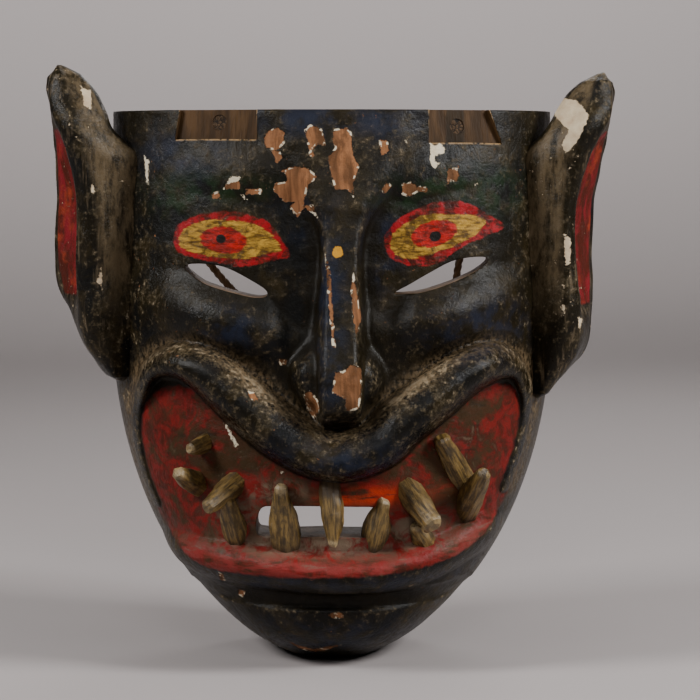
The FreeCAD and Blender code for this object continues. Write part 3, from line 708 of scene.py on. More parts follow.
def ear(side, material):
    """A leaf of wood with a long scoop, as a stack of sections from its foot to its tip."""
    shape = EARS[side]
    way = 1.0 if side == "right" else -1.0
    levels, around = 130, 72
    bottom, top = shape["bottom"], shape["top"]
    steps = 0.5 - 0.5 * np.cos(np.pi * np.linspace(0.0, 1.0, levels + 1))
    rings, reds, crests, slopes = [], [], [], []
    for z in bottom + (top - bottom) * (0.45 * steps + 0.55 * np.linspace(0.0, 1.0, levels + 1)):
        outer, root, crest, rim = (float(along(shape[key], z)) for key in ("outer", "root", "crest", "rim"))
        low_red, high_red = shape["red"]
        scooped = smooth(z, low_red - 12, low_red + 6) * (1.0 - smooth(z, high_red - 7, high_red + 9))
        width = outer - rim
        knots = np.array([
            (root - 2, -36), (0.5 * (root + crest), -41.5), (crest, -45),
            (0.5 * (crest + rim), -44.5), (rim, -41), (rim - scooped, -33),
            (rim + (0.2 - 0.2 * scooped) * width, -25),
            (rim + 0.42 * width, -18.5), (rim + 0.8 * width, -14), (outer - 1.2, -11.5), (outer, -9.0),
            (outer - 5, -7), (0.5 * (outer + root), -12), (root + 3, -22), (root - 3, -29),
        ])
        plain = np.linspace(knots[4], knots[9], 6)[1:5] + [0.12 * width, -1.5]
        knots[5:9] = knots[5:9] * scooped + plain * (1.0 - scooped)
        thin = 1.0 - 0.62 * float(smooth(z, 98, top + 4)) - 0.25 * (1.0 - float(smooth(z, bottom - 4, 22)))
        knots[:, 1] = EAR_MIDDLE + (knots[:, 1] - EAR_MIDDLE) * thin
        ends = min(1.0, ((z - bottom) / 3.0 + 0.05), ((top - z) / 4.0 + 0.05)) ** 0.5
        knots = knots.mean(axis=0) + (knots - knots.mean(axis=0)) * ends
        loop = rounded_loop(knots, EAR_STEPS)
        lengths = np.concatenate([[0.0], np.cumsum(np.hypot(*(np.roll(loop, -1, 0) - loop).T))])
        even = np.linspace(0.0, lengths[-1], around, endpoint=False)
        closed = np.vstack([loop, loop[:1]])
        ring = np.stack([np.interp(even, lengths, closed[:, i]) for i in (0, 1)], axis=1)
        into = inside_run(even, *lengths[[4 * EAR_STEPS, 9 * EAR_STEPS]])
        rings.append(np.column_stack([ring, np.full(around, z)]))
        along_red = 2.0 * (z - low_red) / (high_red - low_red) - 1.0
        reds.append(np.minimum(into - 5.0 * abs(along_red) ** 3, min(z - low_red, high_red - z)))
        crests.append(np.abs(even[:, None] - lengths[[2 * EAR_STEPS, 4 * EAR_STEPS]]).min(axis=1))
        slopes.append(smooth(inside_run(even, -4.0, lengths[2 * EAR_STEPS]), 0.0, 3.0) * smooth(z, 20, 50))
    verts = np.concatenate(rings)
    verts[:, :2] += 0.45 * np.stack([noise(verts, 8.0, 2.0), noise(verts, 7.0, 6.0)], axis=1)
    verts[:, 1] += 0.5 * noise(verts * [1, 1, 0.35], 5.0, 11.0)
    verts[:, 0] *= way
    last = levels * around
    faces = [tuple(range(around)), tuple(range(last + around - 1, last - 1, -1))]
    faces += ring_faces(levels + 1, around)
    if way < 0:
        faces = [tuple(reversed(f)) for f in faces]
    made = new_object(f"ear_{side}_carved", verts, faces, material)
    points = points_of(made.data)
    chip = inside_any(points[:, 0], points[:, 2], EAR_CHIPS[side])
    marks = {
        "chip": np.where(points[:, 1] < -20.0, chip, FAR_OUTSIDE),
        "red": np.concatenate(reds), "crest": np.concatenate(crests), "slope": np.concatenate(slopes),
    }
    for name, values in marks.items():
        set_value(made.data, name, values)
    return made


def inside_run(at, start, end):
    """How far each place on a loop is inside the run from start to end."""
    return np.minimum(at - start, end - at)


# ---------------------------------------------------------------- teeth

# Each tooth: tip, the point where it leaves the wood, radius at the root, radius at the tip.
TEETH = {
    "tooth_side_left": ((-59, -84, -32), (-50, -60, -41), 4.4, 2.4),
    "tooth_cheek_left": ((-55, -77, -24), (-47, -63, -21), 3.6, 2.2),
    "tooth_fang_left": ((-48, -85, -46), (-34, -68, -35), 4.9, 2.8),
    "tooth_lower_left": ((-40, -80, -43), (-36, -72, -60), 4.6, 2.6),
    "tooth_lower_middle": ((-19, -82, -37), (-17, -76, -62), 5.8, 2.4),
    "tooth_upper_middle": ((1, -84, -61), (0, -80, -41), 4.4, 1.8),
    "tooth_lower_right": ((21, -80, -43), (17, -75, -62), 5.2, 2.4),
    "tooth_fang_right": ((40, -87, -53), (26, -70, -36), 5.2, 3.6),
    "tooth_lower_small": ((33, -79, -53), (38, -72, -62), 4.2, 2.4),
    "tooth_side_right": ((60, -82, -32), (53, -62, -51), 4.6, 2.6),
    "tooth_cheek_right": ((43, -76, -19), (53, -64, -39), 4.8, 3.0),
}
TOOTH_ROOT = 9.0


def tooth(name, number, material):
    """A whittled peg: flat knife cuts round it, a worn root and a rough tip."""
    tip, leaves, root_radius, tip_radius = TEETH[name]
    tip, leaves = np.array(tip, float), np.array(leaves, float)
    axis = tip - leaves
    reach = float(np.linalg.norm(axis))
    axis /= reach
    across = np.cross(axis, [0.0, 1.0, 0.0])
    across /= np.linalg.norm(across)
    beside = np.cross(axis, across)
    chance = np.random.default_rng(40 + number)
    sides = 6 + number % 3
    cuts = 2.0 * math.pi * (np.arange(sides) + 0.5 * chance.random(sides)) / sides
    depths = 0.93 + 0.09 * chance.random(sides)
    profile = [
        (-TOOTH_ROOT, 0.8 * root_radius), (0.0, root_radius), (0.45 * reach, 0.97 * root_radius),
        (reach - tip_radius, 1.08 * tip_radius), (reach - 0.8, 0.95 * tip_radius),
        (reach, 0.6 * tip_radius),
    ]
    levels, around = 40, 36
    angles = 2.0 * math.pi * np.arange(around) / around
    verts = []
    even = np.linspace(-TOOTH_ROOT, reach - 1.0, levels - 3)
    for s in (*even, reach - 0.6, reach - 0.25, reach):
        radius = float(along(profile, s))
        twist = 0.012 * s * (1 if number % 2 else -1)
        flats = np.cos(angles[:, None] - cuts[None, :] - twist) / depths[None, :]
        edge = radius / np.maximum(flats.max(axis=1), 0.9)
        bend = 0.5 * math.sin(math.pi * min(1.0, max(0.0, s / reach)))
        slant = 0.35 * np.cos(angles) * max(0.0, (s - reach + 2.0) / 2.0)
        middle = leaves + axis * s + across * bend
        ring = middle + np.outer(edge * np.cos(angles), across) + np.outer(edge * np.sin(angles), beside)
        verts.append(ring + np.outer(slant, axis))
    verts.append([tip - 0.3 * axis])
    verts = np.concatenate(verts)
    lift = 0.22 * noise(verts, 2.4, number * 1.7) + 0.18 * noise(verts, 5.5, number * 2.3)
    verts = verts + lift[:, None] * across + 0.5 * lift[:, None] * beside
    faces = [tuple(range(around)), *ring_faces(levels, around)]
    last = (levels - 1) * around
    faces += [(last + c, last + (c + 1) % around, last + around) for c in range(around)]
    made = new_object(f"{name}_whittled", verts, faces, material)
    made.data.set_sharp_from_angle(angle=math.radians(24))
    points = points_of(made.data)
    run = (points - leaves) @ axis
    set_value(made.data, "run", run / reach)
    set_value(made.data, "cut_across", (points - leaves) @ across)
    set_value(made.data, "kind", np.full(len(points), chance.random()))
    set_value(made.data, "grain", run * 0.12)
    return made


# ---------------------------------------------------------------- string and knots

# Route of the string, from knot to knot, in metres.
CORD_ROUTE = [
    (-0.0916, -0.007, 0.078), (-0.070, -0.007, 0.078), (-0.059, -0.010, 0.057), (-0.0455, -0.014, 0.0385),
    (-0.028, -0.017, 0.022), (-0.012, -0.019, 0.002), (0.006, -0.020, -0.014), (0.028, -0.019, -0.019),
    (0.044, -0.017, -0.005), (0.050, -0.015, 0.018), (0.0515, -0.013, 0.042), (0.0575, -0.010, 0.063),
    (0.072, -0.007, 0.078), (0.0916, -0.007, 0.078),
]
PLY_RADIUS, PLY_OFFSET, PLY_PITCH = 0.82, 0.80, 9.0


def cord_line():
    """Points along the string's middle, in metres, read from one smooth spline."""
    curve = bpy.data.curves.new("cord_line", "CURVE")
    curve.dimensions = "3D"
    curve.resolution_u = 24
    spline = curve.splines.new("NURBS")
    spline.points.add(len(CORD_ROUTE) - 1)
    for point, place in zip(spline.points, CORD_ROUTE):
        point.co = (*place, 1.0)
    spline.order_u = 3
    spline.use_endpoint_u = True
    holder = bpy.data.objects.new("cord_line", curve)
    bpy.context.scene.collection.objects.link(holder)
    mesh = bpy.data.meshes.new_from_object(holder)
    line = [tuple(vertex.co) for vertex in mesh.vertices]
    bpy.data.objects.remove(holder, do_unlink=True)
    bpy.data.meshes.remove(mesh)
    return line


def evenly(path, gap):
    """Points a fixed gap apart along a path."""
    path = np.asarray(path, float)
    lengths = np.concatenate([[0.0], np.cumsum(np.linalg.norm(np.diff(path, axis=0), axis=1))])
    count = max(4, int(round(lengths[-1] / gap)))
    at = np.linspace(0.0, lengths[-1], count + 1)
    return np.stack([np.interp(at, lengths, path[:, i]) for i in range(3)], axis=1), at


def path_frames(path):
    """Two directions across a path at each point, carried along it without turning."""
    ahead = np.gradient(path, axis=0)
    ahead /= np.linalg.norm(ahead, axis=1)[:, None]
    first = np.cross(ahead[0], [0.3, 0.5, 0.8])
    firsts = [first / np.linalg.norm(first)]
    for direction in ahead[1:]:
        carried = firsts[-1] - direction * np.dot(firsts[-1], direction)
        firsts.append(carried / np.linalg.norm(carried))
    firsts = np.array(firsts)
    return firsts, np.cross(ahead, firsts)


def twisted(name, path, material, plies=3, sides=8):
    """Twisted plies along a path in millimetres."""
    path, at = evenly(path, 0.7)
    one, two = path_frames(path)
    verts, faces, ply_values, turn_values = [], [], [], []
    for ply in range(plies):
        angle = 2.0 * math.pi * (at / PLY_PITCH + ply / plies)
        middle = path + PLY_OFFSET * (np.cos(angle)[:, None] * one + np.sin(angle)[:, None] * two)
        across, beside = path_frames(middle)
        start = len(verts)
        for i, spot in enumerate(middle):
            radius = PLY_RADIUS * (1.0 + 0.07 * math.sin(0.9 * at[i] + 2.1 * ply))
            for side in range(sides):
                turn = 2.0 * math.pi * side / sides
                verts.append(spot + radius * (math.cos(turn) * across[i] + math.sin(turn) * beside[i]))
                ply_values.append(float(ply))
                turn_values.append(at[i] * 1.6 + turn * 1.2)
        faces += ring_faces(len(middle), sides, start)
        last = start + (len(middle) - 1) * sides
        faces.append(tuple(range(start + sides - 1, start - 1, -1)))
        faces.append(tuple(range(last, last + sides)))
    made = new_object(name, verts, faces, material)
    set_value(made.data, "ply", ply_values)
    set_value(made.data, "fibre", turn_values)
    return made


def overhand_knot(side, material):
    """A tight overhand knot in the string, outside the side wall."""
    way = 1.0 if side == "right" else -1.0
    turns = np.linspace(0.0, 2.0 * math.pi, 120)
    out = -np.sin(3.0 * turns) * 1.15
    up = (np.sin(turns) + 2.0 * np.sin(2.0 * turns)) * 0.98
    back = (np.cos(turns) - 2.0 * np.cos(2.0 * turns)) * 0.98
    path = np.stack([way * (95.2 + out), -7.0 + back, 78.0 + up], axis=1)
    return twisted(f"strap_knot_{side}_tied", path, material)


# ---------------------------------------------------------------- materials


class Look:
    """A material under construction. Lengths in its patterns are in millimetres."""

    def __init__(self, name):
        self.material = bpy.data.materials.new(name)
        self.material.use_nodes = True
        self.nodes = self.material.node_tree.nodes
        self.links = self.material.node_tree.links
        self.shader = self.nodes["Principled BSDF"]
        place = self.add("ShaderNodeTexCoord").outputs["Object"]
        sockets = {0: place, 1: (1 / MM,) * 3}
        self.place = self.add("ShaderNodeVectorMath", sockets, operation="MULTIPLY").outputs[0]

    def add(self, kind, sockets=None, **settings):
        """A node with its settings and the values or links of its inputs."""
        node = self.nodes.new(kind)
        for name, value in settings.items():
            setattr(node, name, value)
        for key, value in (sockets or {}).items():
            if isinstance(value, bpy.types.NodeSocket):
                self.links.new(value, node.inputs[key])
            elif isinstance(value, tuple) and node.inputs[key].type == "RGBA":
                node.inputs[key].default_value = (*value, 1.0)
            else:
                node.inputs[key].default_value = value
        return node

    def value(self, name):
        """A number kept at each point of the mesh."""
        return self.add("ShaderNodeAttribute", attribute_name=name).outputs["Fac"]

    def noise(self, across, detail=5.0, rough=0.6, stretch=(1.0, 1.0, 1.0), warp=0.0, shift=0.0):
        """Blotches about so many millimetres across, from 0 to 1."""
        vector = self.place
        if stretch != (1.0, 1.0, 1.0) or shift:
            sockets = {"Vector": vector, "Scale": stretch, "Location": (shift,) * 3}
            vector = self.add("ShaderNodeMapping", sockets).outputs[0]
        sockets = {"Vector": vector, "Scale": 0.5 / across, "Detail": detail, "Roughness": rough}
        sockets["Distortion"] = warp
        return self.add("ShaderNodeTexNoise", sockets).outputs["Fac"]

    def cracks(self, across):
        """Distance to the borders between cells about so many millimetres across."""
        sockets = {"Vector": self.place, "Scale": 1.0 / across}
        return self.add("ShaderNodeTexVoronoi", sockets, feature="DISTANCE_TO_EDGE").outputs["Distance"]

    def maths(self, operation, a, b=0.0, c=0.0, clamp=False):
        """The result of one sum."""
        node = self.add("ShaderNodeMath", {0: a, 1: b, 2: c}, operation=operation, use_clamp=clamp)
        return node.outputs[0]

    def scale_add(self, a, b, c, clamp=False):
        """a times b, plus c."""
        return self.maths("MULTIPLY_ADD", a, b, c, clamp)

    def either(self, a, b):
        """The larger of two signals."""
        return self.maths("MAXIMUM", a, b)

    def both(self, a, b):
        """The product of two signals."""
        return self.maths("MULTIPLY", a, b)

    def without(self, a, b):
        """a where b is not."""
        return self.both(a, self.maths("SUBTRACT", 1.0, b))

    def step(self, value, low, high):
        """A smooth step from 0 at low to 1 at high."""
        sockets = {"Value": value, "From Min": low, "From Max": high}
        return self.add("ShaderNodeMapRange", sockets, interpolation_type="SMOOTHSTEP").outputs["Result"]

    def flecks(self, low, high, *pattern, **settings):
        """A smooth step from 0 to 1 of blotches, so that only their strongest parts show."""
        return self.step(self.noise(*pattern, **settings), low, high)

    def blend(self, amount, a, b):
        """A colour between a and b."""
        return self.add("ShaderNodeMix", {0: amount, 6: a, 7: b}, data_type="RGBA").outputs[2]

    def over(self, colour, coat, signal, strength):
        """A colour with another laid over it, as strongly as a signal says."""
        return self.blend(self.both(signal, strength), colour, coat)

    def edge(self, name, ragged, soft=0.25, at=0.0):
        """1 inside an area kept on the mesh, with a ragged border. ragged is a signal about 0.5."""
        pushed = self.maths("ADD", self.value(name), self.scale_add(ragged, 2.4, -1.2))
        return self.step(pushed, at - soft, at + soft)

    def done(self, colour, roughness, height, specular):
        """Join colour, roughness and a height in millimetres to the shader."""
        bump = self.add("ShaderNodeBump", {"Height": height, "Distance": MM, "Strength": 1.0})
        self.links.new(bump.outputs[0], self.shader.inputs["Normal"])
        self.links.new(colour, self.shader.inputs["Base Color"])
        self.links.new(roughness, self.shader.inputs["Roughness"])
        self.shader.inputs["Specular IOR Level"].default_value = specular
        return self.material


def worn_black(look, ridge, dusty):
    """Old blue-black gloss paint, rubbed, crazed and dirty: its colour, roughness and height."""
    broad = look.noise(26.0, 3.0, 0.5)
    blotch = look.noise(6.0, 6.0, 0.62, warp=0.4)
    fine = look.noise(1.1, 6.0, 0.7, shift=9.0)
    grit = look.noise(0.45, 3.0, 0.6, shift=21.0)
    streak = look.noise(1.0, 5.0, 0.6, (1.0, 1.0, 0.16), shift=4.0)
    colour = look.blend(look.step(broad, 0.35, 0.65), (0.005, 0.005, 0.005), (0.009, 0.0065, 0.0025))
    colour = look.blend(look.step(blotch, 0.44, 0.66), colour, (0.020, 0.014, 0.0055))
    rubbed = look.scale_add(ridge, 0.07, fine)
    rubbed = look.scale_add(dusty, 0.11, rubbed)
    rubbed = look.scale_add(look.maths("SUBTRACT", blotch, 0.5), 0.35, rubbed)
    colour = look.over(colour, (0.070, 0.052, 0.028), look.step(rubbed, 0.57, 0.70), 0.75)
    colour = look.over(colour, (0.260, 0.200, 0.130), look.step(rubbed, 0.69, 0.77), 0.8)
    colour = look.over(colour, (0.060, 0.044, 0.024), look.step(streak, 0.60, 0.74), 0.35)
    roughness = look.scale_add(fine, 0.36, 0.14)
    roughness = look.scale_add(look.step(rubbed, 0.55, 0.7), 0.22, roughness)
    height = look.scale_add(fine, 0.30, look.both(blotch, 0.55))
    height = look.scale_add(grit, 0.10, height)
    height = look.scale_add(streak, 0.14, height)
    return colour, roughness, height


def grain_colour(look, dark, light, stretch=(1.0, 1.0, 0.07), shift=0.0):
    """Bare wood with its grain along Z: colour and height."""
    rings = look.noise(2.6, 4.0, 0.55, stretch, 0.5, shift)
    pores = look.noise(0.5, 3.0, 0.6, (1.0, 1.0, 0.05), shift=shift + 13.0)
    stain = look.noise(14.0, 4.0, 0.6, shift=shift + 5.0)
    colour = look.blend(look.step(rings, 0.35, 0.66), dark, light)
    colour = look.over(colour, dark, look.step(pores, 0.52, 0.68), 0.55)
    colour = look.over(colour, tuple(0.45 * c for c in dark), look.step(stain, 0.52, 0.72), 0.5)
    height = look.scale_add(rings, 0.25, look.both(pores, 0.22))
    return colour, height


def specks_of_wear(look, low, high, at):
    """Specks of lost paint, gathered in broad patches where the paint has suffered most."""
    specks = look.flecks(low, high, 0.9, 4.0, 0.6, shift=80.0)
    return look.both(specks, look.flecks(at, 0.6, 11.0, 3.0, 0.5, shift=33.0))


def painted_face():
    """The front of the face: black paint, red mouth, painted eyes, chips down to gesso and wood."""
    look = Look("painted_face")
    ridge, valley, lip = look.value("ridge"), look.value("valley"), look.value("lip")
    ledge = look.both(look.value("lip_top"), look.scale_add(look.value("tan"), 0.8, 0.45))
    dusty = look.scale_add(look.value("tan"), 0.55, look.both(ledge, 1.1))
    colour, roughness, height = worn_black(look, ridge, dusty)
    ragged = look.noise(1.6, 5.0, 0.65, shift=3.0)
    dirt = look.noise(3.2, 6.0, 0.66, warp=0.6, shift=17.0)
    brush = look.noise(1.5, 5.0, 0.6, (0.22, 0.22, 1.0), 0.3, 31.0)

    # Blue-black tint in soft patches on the lip, forehead, nose ridge, cheeks and chin: partly the paint's
    # own blue and partly a painted bluish sheen.
    blue = look.both(look.value("blue"), look.flecks(0.38, 0.62, 4.5, 4.0, 0.6, shift=40.0))
    colour = look.over(colour, (0.012, 0.017, 0.034), blue, 0.75)
    green = look.both(look.value("green"), look.flecks(0.36, 0.60, 3.0, 4.0, 0.6, shift=47.0))
    colour = look.over(colour, (0.010, 0.024, 0.008), green, 0.85)
    # Painted shade: near-black laid into the hollows that the valley value finds, beside the nose and in
    # other creases.
    colour = look.over(colour, (0.007, 0.005, 0.002), look.step(valley, 0.10, 0.7), 0.75)
    dust = look.both(ledge, look.flecks(0.40, 0.60, 0.8, 6.0, 0.7, (1.0, 1.0, 0.7), shift=52.0))
    colour = look.over(colour, (0.165, 0.112, 0.060), dust, 0.8)

    red = look.edge("mouth", ragged, 0.7, 0.6)
    deep = look.value("deep")
    # Darker olive-brown laid over the red, spread wider where the deep patches lie, in the middle and sides
    # of the mouth.
    darker_brown = look.scale_add(deep, 0.16, look.noise(7.0, 6.0, 0.68, warp=0.8, shift=70.0))
    red_shade = look.blend(look.step(dirt, 0.40, 0.62), (0.150, 0.009, 0.007), (0.048, 0.009, 0.004))
    red_shade = look.over(red_shade, (0.034, 0.021, 0.008), look.step(darker_brown, 0.50, 0.66), 0.9)
    red_shade = look.over(red_shade, (0.110, 0.075, 0.046), look.step(dirt, 0.60, 0.70), deep)
    red_shade = look.over(red_shade, (0.010, 0.006, 0.004), look.step(brush, 0.56, 0.72), 0.5)
    roof = look.both(look.value("roof"), look.step(brush, 0.30, 0.50))
    red_shade = look.blend(roof, red_shade, (0.420, 0.028, 0.006))
    pink = look.both(look.value("pink"), look.step(brush, 0.38, 0.58))
    red_shade = look.over(red_shade, (0.210, 0.028, 0.024), pink, 0.9)
    red_shade = look.over(red_shade, (0.14, 0.075, 0.055), look.step(brush, 0.60, 0.72), look.value("pink"))
    shelf = look.both(look.value("shelf"), look.step(dirt, 0.38, 0.58))
    red_shade = look.over(red_shade, (0.190, 0.140, 0.095), shelf, 0.85)
    colour = look.blend(red, colour, red_shade)

    eye_red = look.edge("eye_red", ragged, 0.35)
    strokes = look.noise(0.7, 6.0, 0.7, (0.22, 0.22, 1.0), 0.5, 55.0)
    gap = look.step(look.scale_add(strokes, 0.5, look.both(dirt, 0.5)), 0.47, 0.58)
    rim = look.blend(look.step(dirt, 0.42, 0.60), (0.270, 0.006, 0.010), (0.120, 0.010, 0.006))
    colour = look.over(colour, rim, eye_red, look.maths("SUBTRACT", 1.0, look.both(gap, 0.75)))
    yellow = look.blend(look.step(strokes, 0.36, 0.62), (0.085, 0.042, 0.006), (0.420, 0.240, 0.035))
    yellow = look.over(yellow, (0.045, 0.022, 0.005), look.step(dirt, 0.48, 0.62), 0.8)
    yellow_edge = look.scale_add(strokes, 3.4, -1.7)
    yellow_edge = look.step(look.maths("ADD", look.value("eye_yellow"), yellow_edge), -0.3, 0.3)
    colour = look.blend(yellow_edge, colour, yellow)
    iris = look.blend(look.step(strokes, 0.40, 0.62), (0.110, 0.010, 0.006), (0.400, 0.013, 0.010))
    colour = look.blend(look.edge("iris", ragged, 0.3), colour, iris)
    colour = look.blend(look.step(look.value("pupil"), -0.15, 0.2), colour, (0.010, 0.009, 0.008))
    colour = look.blend(look.edge("yellow_dot", ragged, 0.2), colour, (0.480, 0.230, 0.020))

    chip = look.edge("chip", look.noise(0.8, 4.0, 0.6, shift=61.0), 0.18)
    wood_dark, wood_light = (0.090, 0.038, 0.014), (0.270, 0.115, 0.048)
    wood, wood_height = grain_colour(look, wood_dark, wood_light, (1.0, 1.0, 0.1), 2.0)
    specks = specks_of_wear(look, 0.66, 0.71, 0.5)
    chip = look.either(chip, look.without(specks, red))
    colour = look.blend(chip, colour, wood)
    border = look.maths("ABSOLUTE", look.maths("ADD", look.value("chip"), -0.15))
    white = look.both(look.step(border, 0.6, 0.2), look.flecks(0.54, 0.60, 1.7, 3.0, 0.6, shift=90.0))
    white = look.either(white, look.edge("gesso", look.noise(0.6, 3.0, 0.6, shift=95.0), 0.2))
    seat_line = look.step(look.value("seat_edge"), 0.9, 0.2)
    seat_line = look.both(seat_line, look.flecks(0.36, 0.48, 1.6, 3.0, shift=8.0))
    colour = look.blend(seat_line, colour, (0.240, 0.150, 0.070))
    colour = look.blend(white, colour, look.blend(look.noise(1.4), (0.50, 0.38, 0.22), (0.78, 0.72, 0.58)))
    bare = look.step(look.value("skin"), 1.1, 1.9)
    colour = look.blend(bare, colour, (0.070, 0.042, 0.022))

    roughness = look.scale_add(look.either(chip, white), 0.35, roughness)
    roughness = look.scale_add(look.step(lip, 0.0, 3.0), -0.10, roughness)
    roughness = look.scale_add(red, 0.10, roughness, clamp=True)
    lost = look.both(look.either(chip, look.both(white, 0.6)), -0.45)
    height = look.maths("ADD", height, lost)
    height = look.maths("ADD", height, look.both(look.both(wood_height, chip), 0.5))
    return look.done(colour, roughness, height, 0.13)


def painted_ear():
    """An ear: black paint rubbed to grey and tan along its edges, and a red scoop."""
    look = Look("painted_ear")
    crest = look.step(look.value("crest"), 3.2, 0.2)
    colour, roughness, height = worn_black(look, look.both(crest, 0.55), 0.25)
    ragged = look.noise(1.8, 5.0, 0.65, shift=3.0)
    dirt = look.noise(4.0, 6.0, 0.65, (1.0, 1.0, 0.4), 0.6, 12.0)
    scrape = look.noise(1.2, 5.0, 0.6, (1.0, 1.0, 0.12), shift=44.0)
    tan = look.both(look.step(scrape, 0.52, 0.66), look.flecks(0.42, 0.58, 9.0, 4.0, shift=20.0))
    slope = look.flecks(0.34, 0.62, 2.2, 6.0, 0.7, (1.0, 1.0, 0.35), shift=26.0)
    slope = look.both(look.value("slope"), slope)
    colour = look.over(colour, (0.120, 0.085, 0.046), slope, 0.85)
    colour = look.over(colour, (0.150, 0.110, 0.066), tan, 0.5)
    red = look.edge("red", ragged, 0.6, 0.3)
    shade = look.blend(look.step(dirt, 0.38, 0.60), (0.170, 0.010, 0.014), (0.060, 0.010, 0.005))
    shade = look.blend(look.flecks(0.55, 0.7, 7.0, 4.0, 0.6, shift=77.0), shade, (0.230, 0.030, 0.012))
    shade = look.over(shade, (0.014, 0.009, 0.006), look.step(scrape, 0.56, 0.70), 0.55)
    colour = look.blend(red, colour, shade)
    chip = look.edge("chip", look.noise(0.8, 4.0, 0.6, shift=61.0), 0.18)
    cream = look.blend(look.noise(2.4, 4.0), (0.330, 0.200, 0.110), (0.720, 0.620, 0.430))
    specks = specks_of_wear(look, 0.65, 0.70, 0.48)
    chip = look.either(chip, look.both(specks, 0.9))
    colour = look.blend(chip, colour, cream)
    roughness = look.scale_add(chip, 0.3, roughness)
    roughness = look.scale_add(red, 0.12, roughness, clamp=True)
    height = look.scale_add(chip, -0.4, height)
    return look.done(colour, roughness, height, 0.13)


def hollowed_wood():
    """The gouged back: bare wood, darkened by age and handling."""
    look = Look("hollowed_wood")
    colour, height = grain_colour(look, (0.090, 0.050, 0.026), (0.215, 0.130, 0.070), (1.0, 1.0, 0.09), 6.0)
    sweat = look.noise(22.0, 4.0, 0.6, shift=60.0)
    colour = look.over(colour, (0.045, 0.026, 0.014), look.step(sweat, 0.48, 0.66), 0.65)
    roughness = look.scale_add(look.noise(3.0), 0.25, 0.52)
    return look.done(colour, roughness, height, 0.35)


def seat_wood():
    """A horn seat: brown cut wood with upright grain, old glue and a dark stain."""
    look = Look("seat_wood")
    dark, light = (0.034, 0.017, 0.006), (0.078, 0.040, 0.015)
    colour, height = grain_colour(look, dark, light, (1.0, 1.0, 0.12), 11.0)
    x = look.add("ShaderNodeSeparateXYZ", {0: look.place}).outputs[0]
    wobble = look.scale_add(look.noise(2.0, 3.0), 2.0, -1.0)
    x = look.maths("ADD", x, wobble)
    stain = look.both(look.step(x, 45.0, 46.2), look.step(x, 53.5, 52.0))
    colour = look.over(colour, (0.016, 0.010, 0.004), stain, 0.75)
    roughness = look.scale_add(look.noise(2.5), 0.2, 0.42)
    return look.done(colour, roughness, height, 0.12)


def tooth_wood():
    """Whittled teeth: olive-brown varnished wood, dark streaks, pale cut tips."""
    look = Look("tooth_wood")
    run, kind = look.value("run"), look.value("kind")
    across = look.value("cut_across")
    place = look.add("ShaderNodeCombineXYZ", {0: across, 1: look.value("grain"), 2: look.both(kind, 40.0)})
    sockets = {"Vector": place.outputs[0], "Scale": 1.1, "Detail": 6.0, "Roughness": 0.65}
    fibres = look.add("ShaderNodeTexNoise", sockets).outputs["Fac"]
    blotch = look.noise(2.6, 5.0, 0.65, shift=14.0)
    colour = look.blend(look.step(fibres, 0.36, 0.64), (0.046, 0.026, 0.005), (0.190, 0.115, 0.030))
    colour = look.over(colour, (0.026, 0.015, 0.004), look.step(blotch, 0.50, 0.64), 0.75)
    colour = look.over(colour, (0.240, 0.165, 0.070), look.step(blotch, 0.40, 0.30), 0.5)
    end = look.maths("ADD", run, look.scale_add(look.noise(1.5, 4.0, shift=5.0), 0.4, -0.2))
    pale = look.both(look.step(end, 0.84, 1.0), look.step(kind, 0.45, 0.85))
    colour = look.over(colour, (0.380, 0.290, 0.160), pale, 0.75)
    root = look.step(look.maths("ADD", run, look.scale_add(blotch, 0.3, -0.15)), 0.16, 0.0)
    colour = look.over(colour, (0.030, 0.017, 0.008), root, 0.75)
    roughness = look.scale_add(blotch, 0.35, 0.30)
    height = look.scale_add(fibres, 0.40, look.both(blotch, 0.35))
    return look.done(colour, roughness, height, 0.5)


def end_wood():
    """Pegs and dowels: dark turned wood with rings on its ends."""
    look = Look("end_wood")
    rings = look.noise(0.9, 5.0, 0.6, warp=1.2, shift=2.0)
    colour = look.blend(look.step(rings, 0.38, 0.62), (0.028, 0.016, 0.008), (0.085, 0.050, 0.026))
    cracks = look.cracks(1.6)
    colour = look.blend(look.step(cracks, 0.10, 0.02), colour, (0.010, 0.007, 0.005))
    roughness = look.scale_add(rings, 0.2, 0.55)
    return look.done(colour, roughness, look.scale_add(cracks, 0.3, look.both(rings, 0.3)), 0.12)


def string_fibre():
    """Brown and cream plies of natural fibre."""
    look = Look("string_fibre")
    ply = look.value("ply")
    fuzz = look.noise(0.35, 4.0, 0.7)
    lines = look.maths("SINE", look.both(look.value("fibre"), 5.0))
    lines = look.scale_add(lines, 0.5, 0.5)
    colour = look.blend(look.step(ply, 0.6, 1.4), (0.780, 0.690, 0.560), (0.360, 0.250, 0.160))
    colour = look.blend(look.step(ply, 1.4, 1.6), colour, (0.640, 0.540, 0.420))
    colour = look.over(colour, (0.260, 0.180, 0.120), lines, 0.30)
    colour = look.over(colour, (0.820, 0.760, 0.660), look.step(fuzz, 0.5, 0.7), 0.4)
    roughness = look.scale_add(fuzz, 0.2, 0.75)
    return look.done(colour, roughness, look.scale_add(lines, 0.12, look.both(fuzz, 0.25)), 0.25)


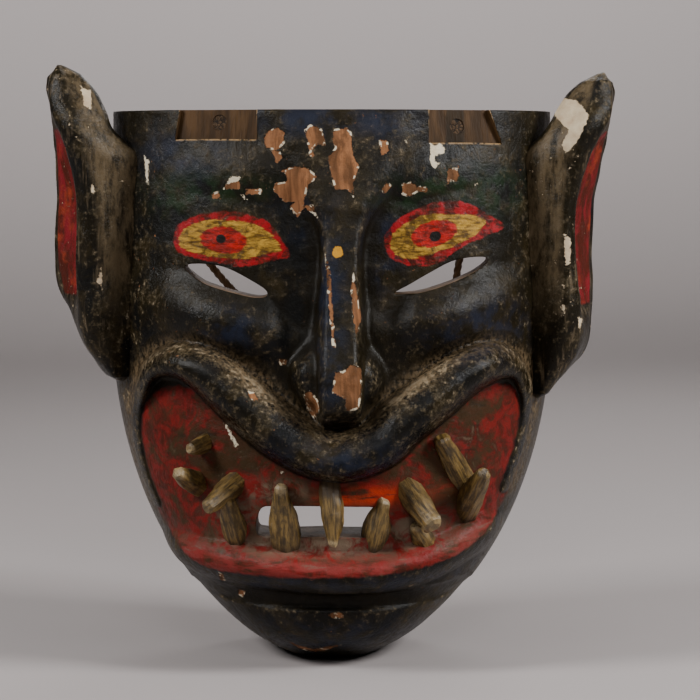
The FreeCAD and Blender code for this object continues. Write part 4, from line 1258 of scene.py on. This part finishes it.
def studio_grey():
    """Seamless grey paper."""
    look = Look("studio_grey")
    cloud = look.noise(400.0, 2.0, 0.5)
    colour = look.blend(cloud, (0.335, 0.302, 0.296), (0.368, 0.332, 0.325))
    roughness = look.scale_add(cloud, 0.1, 0.8)
    return look.done(colour, roughness, look.both(look.noise(1.0, 3.0), 0.02), 0.2)


# ---------------------------------------------------------------- making


def put(piece, slot, *nodes):
    """Fix a piece to the mask in place of its CAD nodes."""
    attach(piece, BODY)
    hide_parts(*nodes)


add_camera()
add_area("key_right", (1.00, -0.45, 0.72), (0.30, 0.40), 21.0)
add_area("key_left", (-1.00, -0.50, 0.80), (0.30, 0.40), 17.0)
add_area("front_fill", (0.1, -1.4, 0.95), (0.5, 0.4), 5.0)
add_area("top", (0.0, -0.3, 1.5), (0.7, 0.5), 2.0)
add_area("back_fill", (0.3, 1.0, 0.7), (0.5, 0.5), 3.0)
add_area("backdrop_light", (0.0, 1.9, 2.8), (3.0, 0.6), 34.0, aim=(0.0, 2.95, 0.5), spread=80.0)
world = bpy.data.worlds.new("studio")
world.use_nodes = True
world.node_tree.nodes["Background"].inputs["Color"].default_value = (0.30, 0.295, 0.295, 1.0)
world.node_tree.nodes["Background"].inputs["Strength"].default_value = 0.16
bpy.context.scene.world = world
add_stage(studio_grey())

string = string_fibre()
line = cord_line()
cord = twisted("strap_cord_twisted", np.array(line) / MM, string)
put(cord, "string", "strap_cord")
knots = [overhand_knot(side, string) for side in SIDES]
for knot, side in zip(knots, SIDES):
    put(knot, "string", f"strap_knot_{side}")

face = face_shell(painted_face(), hollowed_wood(), seat_wood())
mark_face(face.data)
put(face, "painted_face", "face_shell")

ear_paint = painted_ear()
for side in SIDES:
    put(ear(side, ear_paint), "painted_ear", f"ear_{side}")

whittled = tooth_wood()
for number, name in enumerate(TEETH):
    put(tooth(name, number, whittled), "tooth_wood", name)

dark_wood = end_wood()
for name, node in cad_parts.items():
    if name.startswith(("horn_peg", "ear_dowel")):
        for slot in node.material_slots:
            slot.material = dark_wood
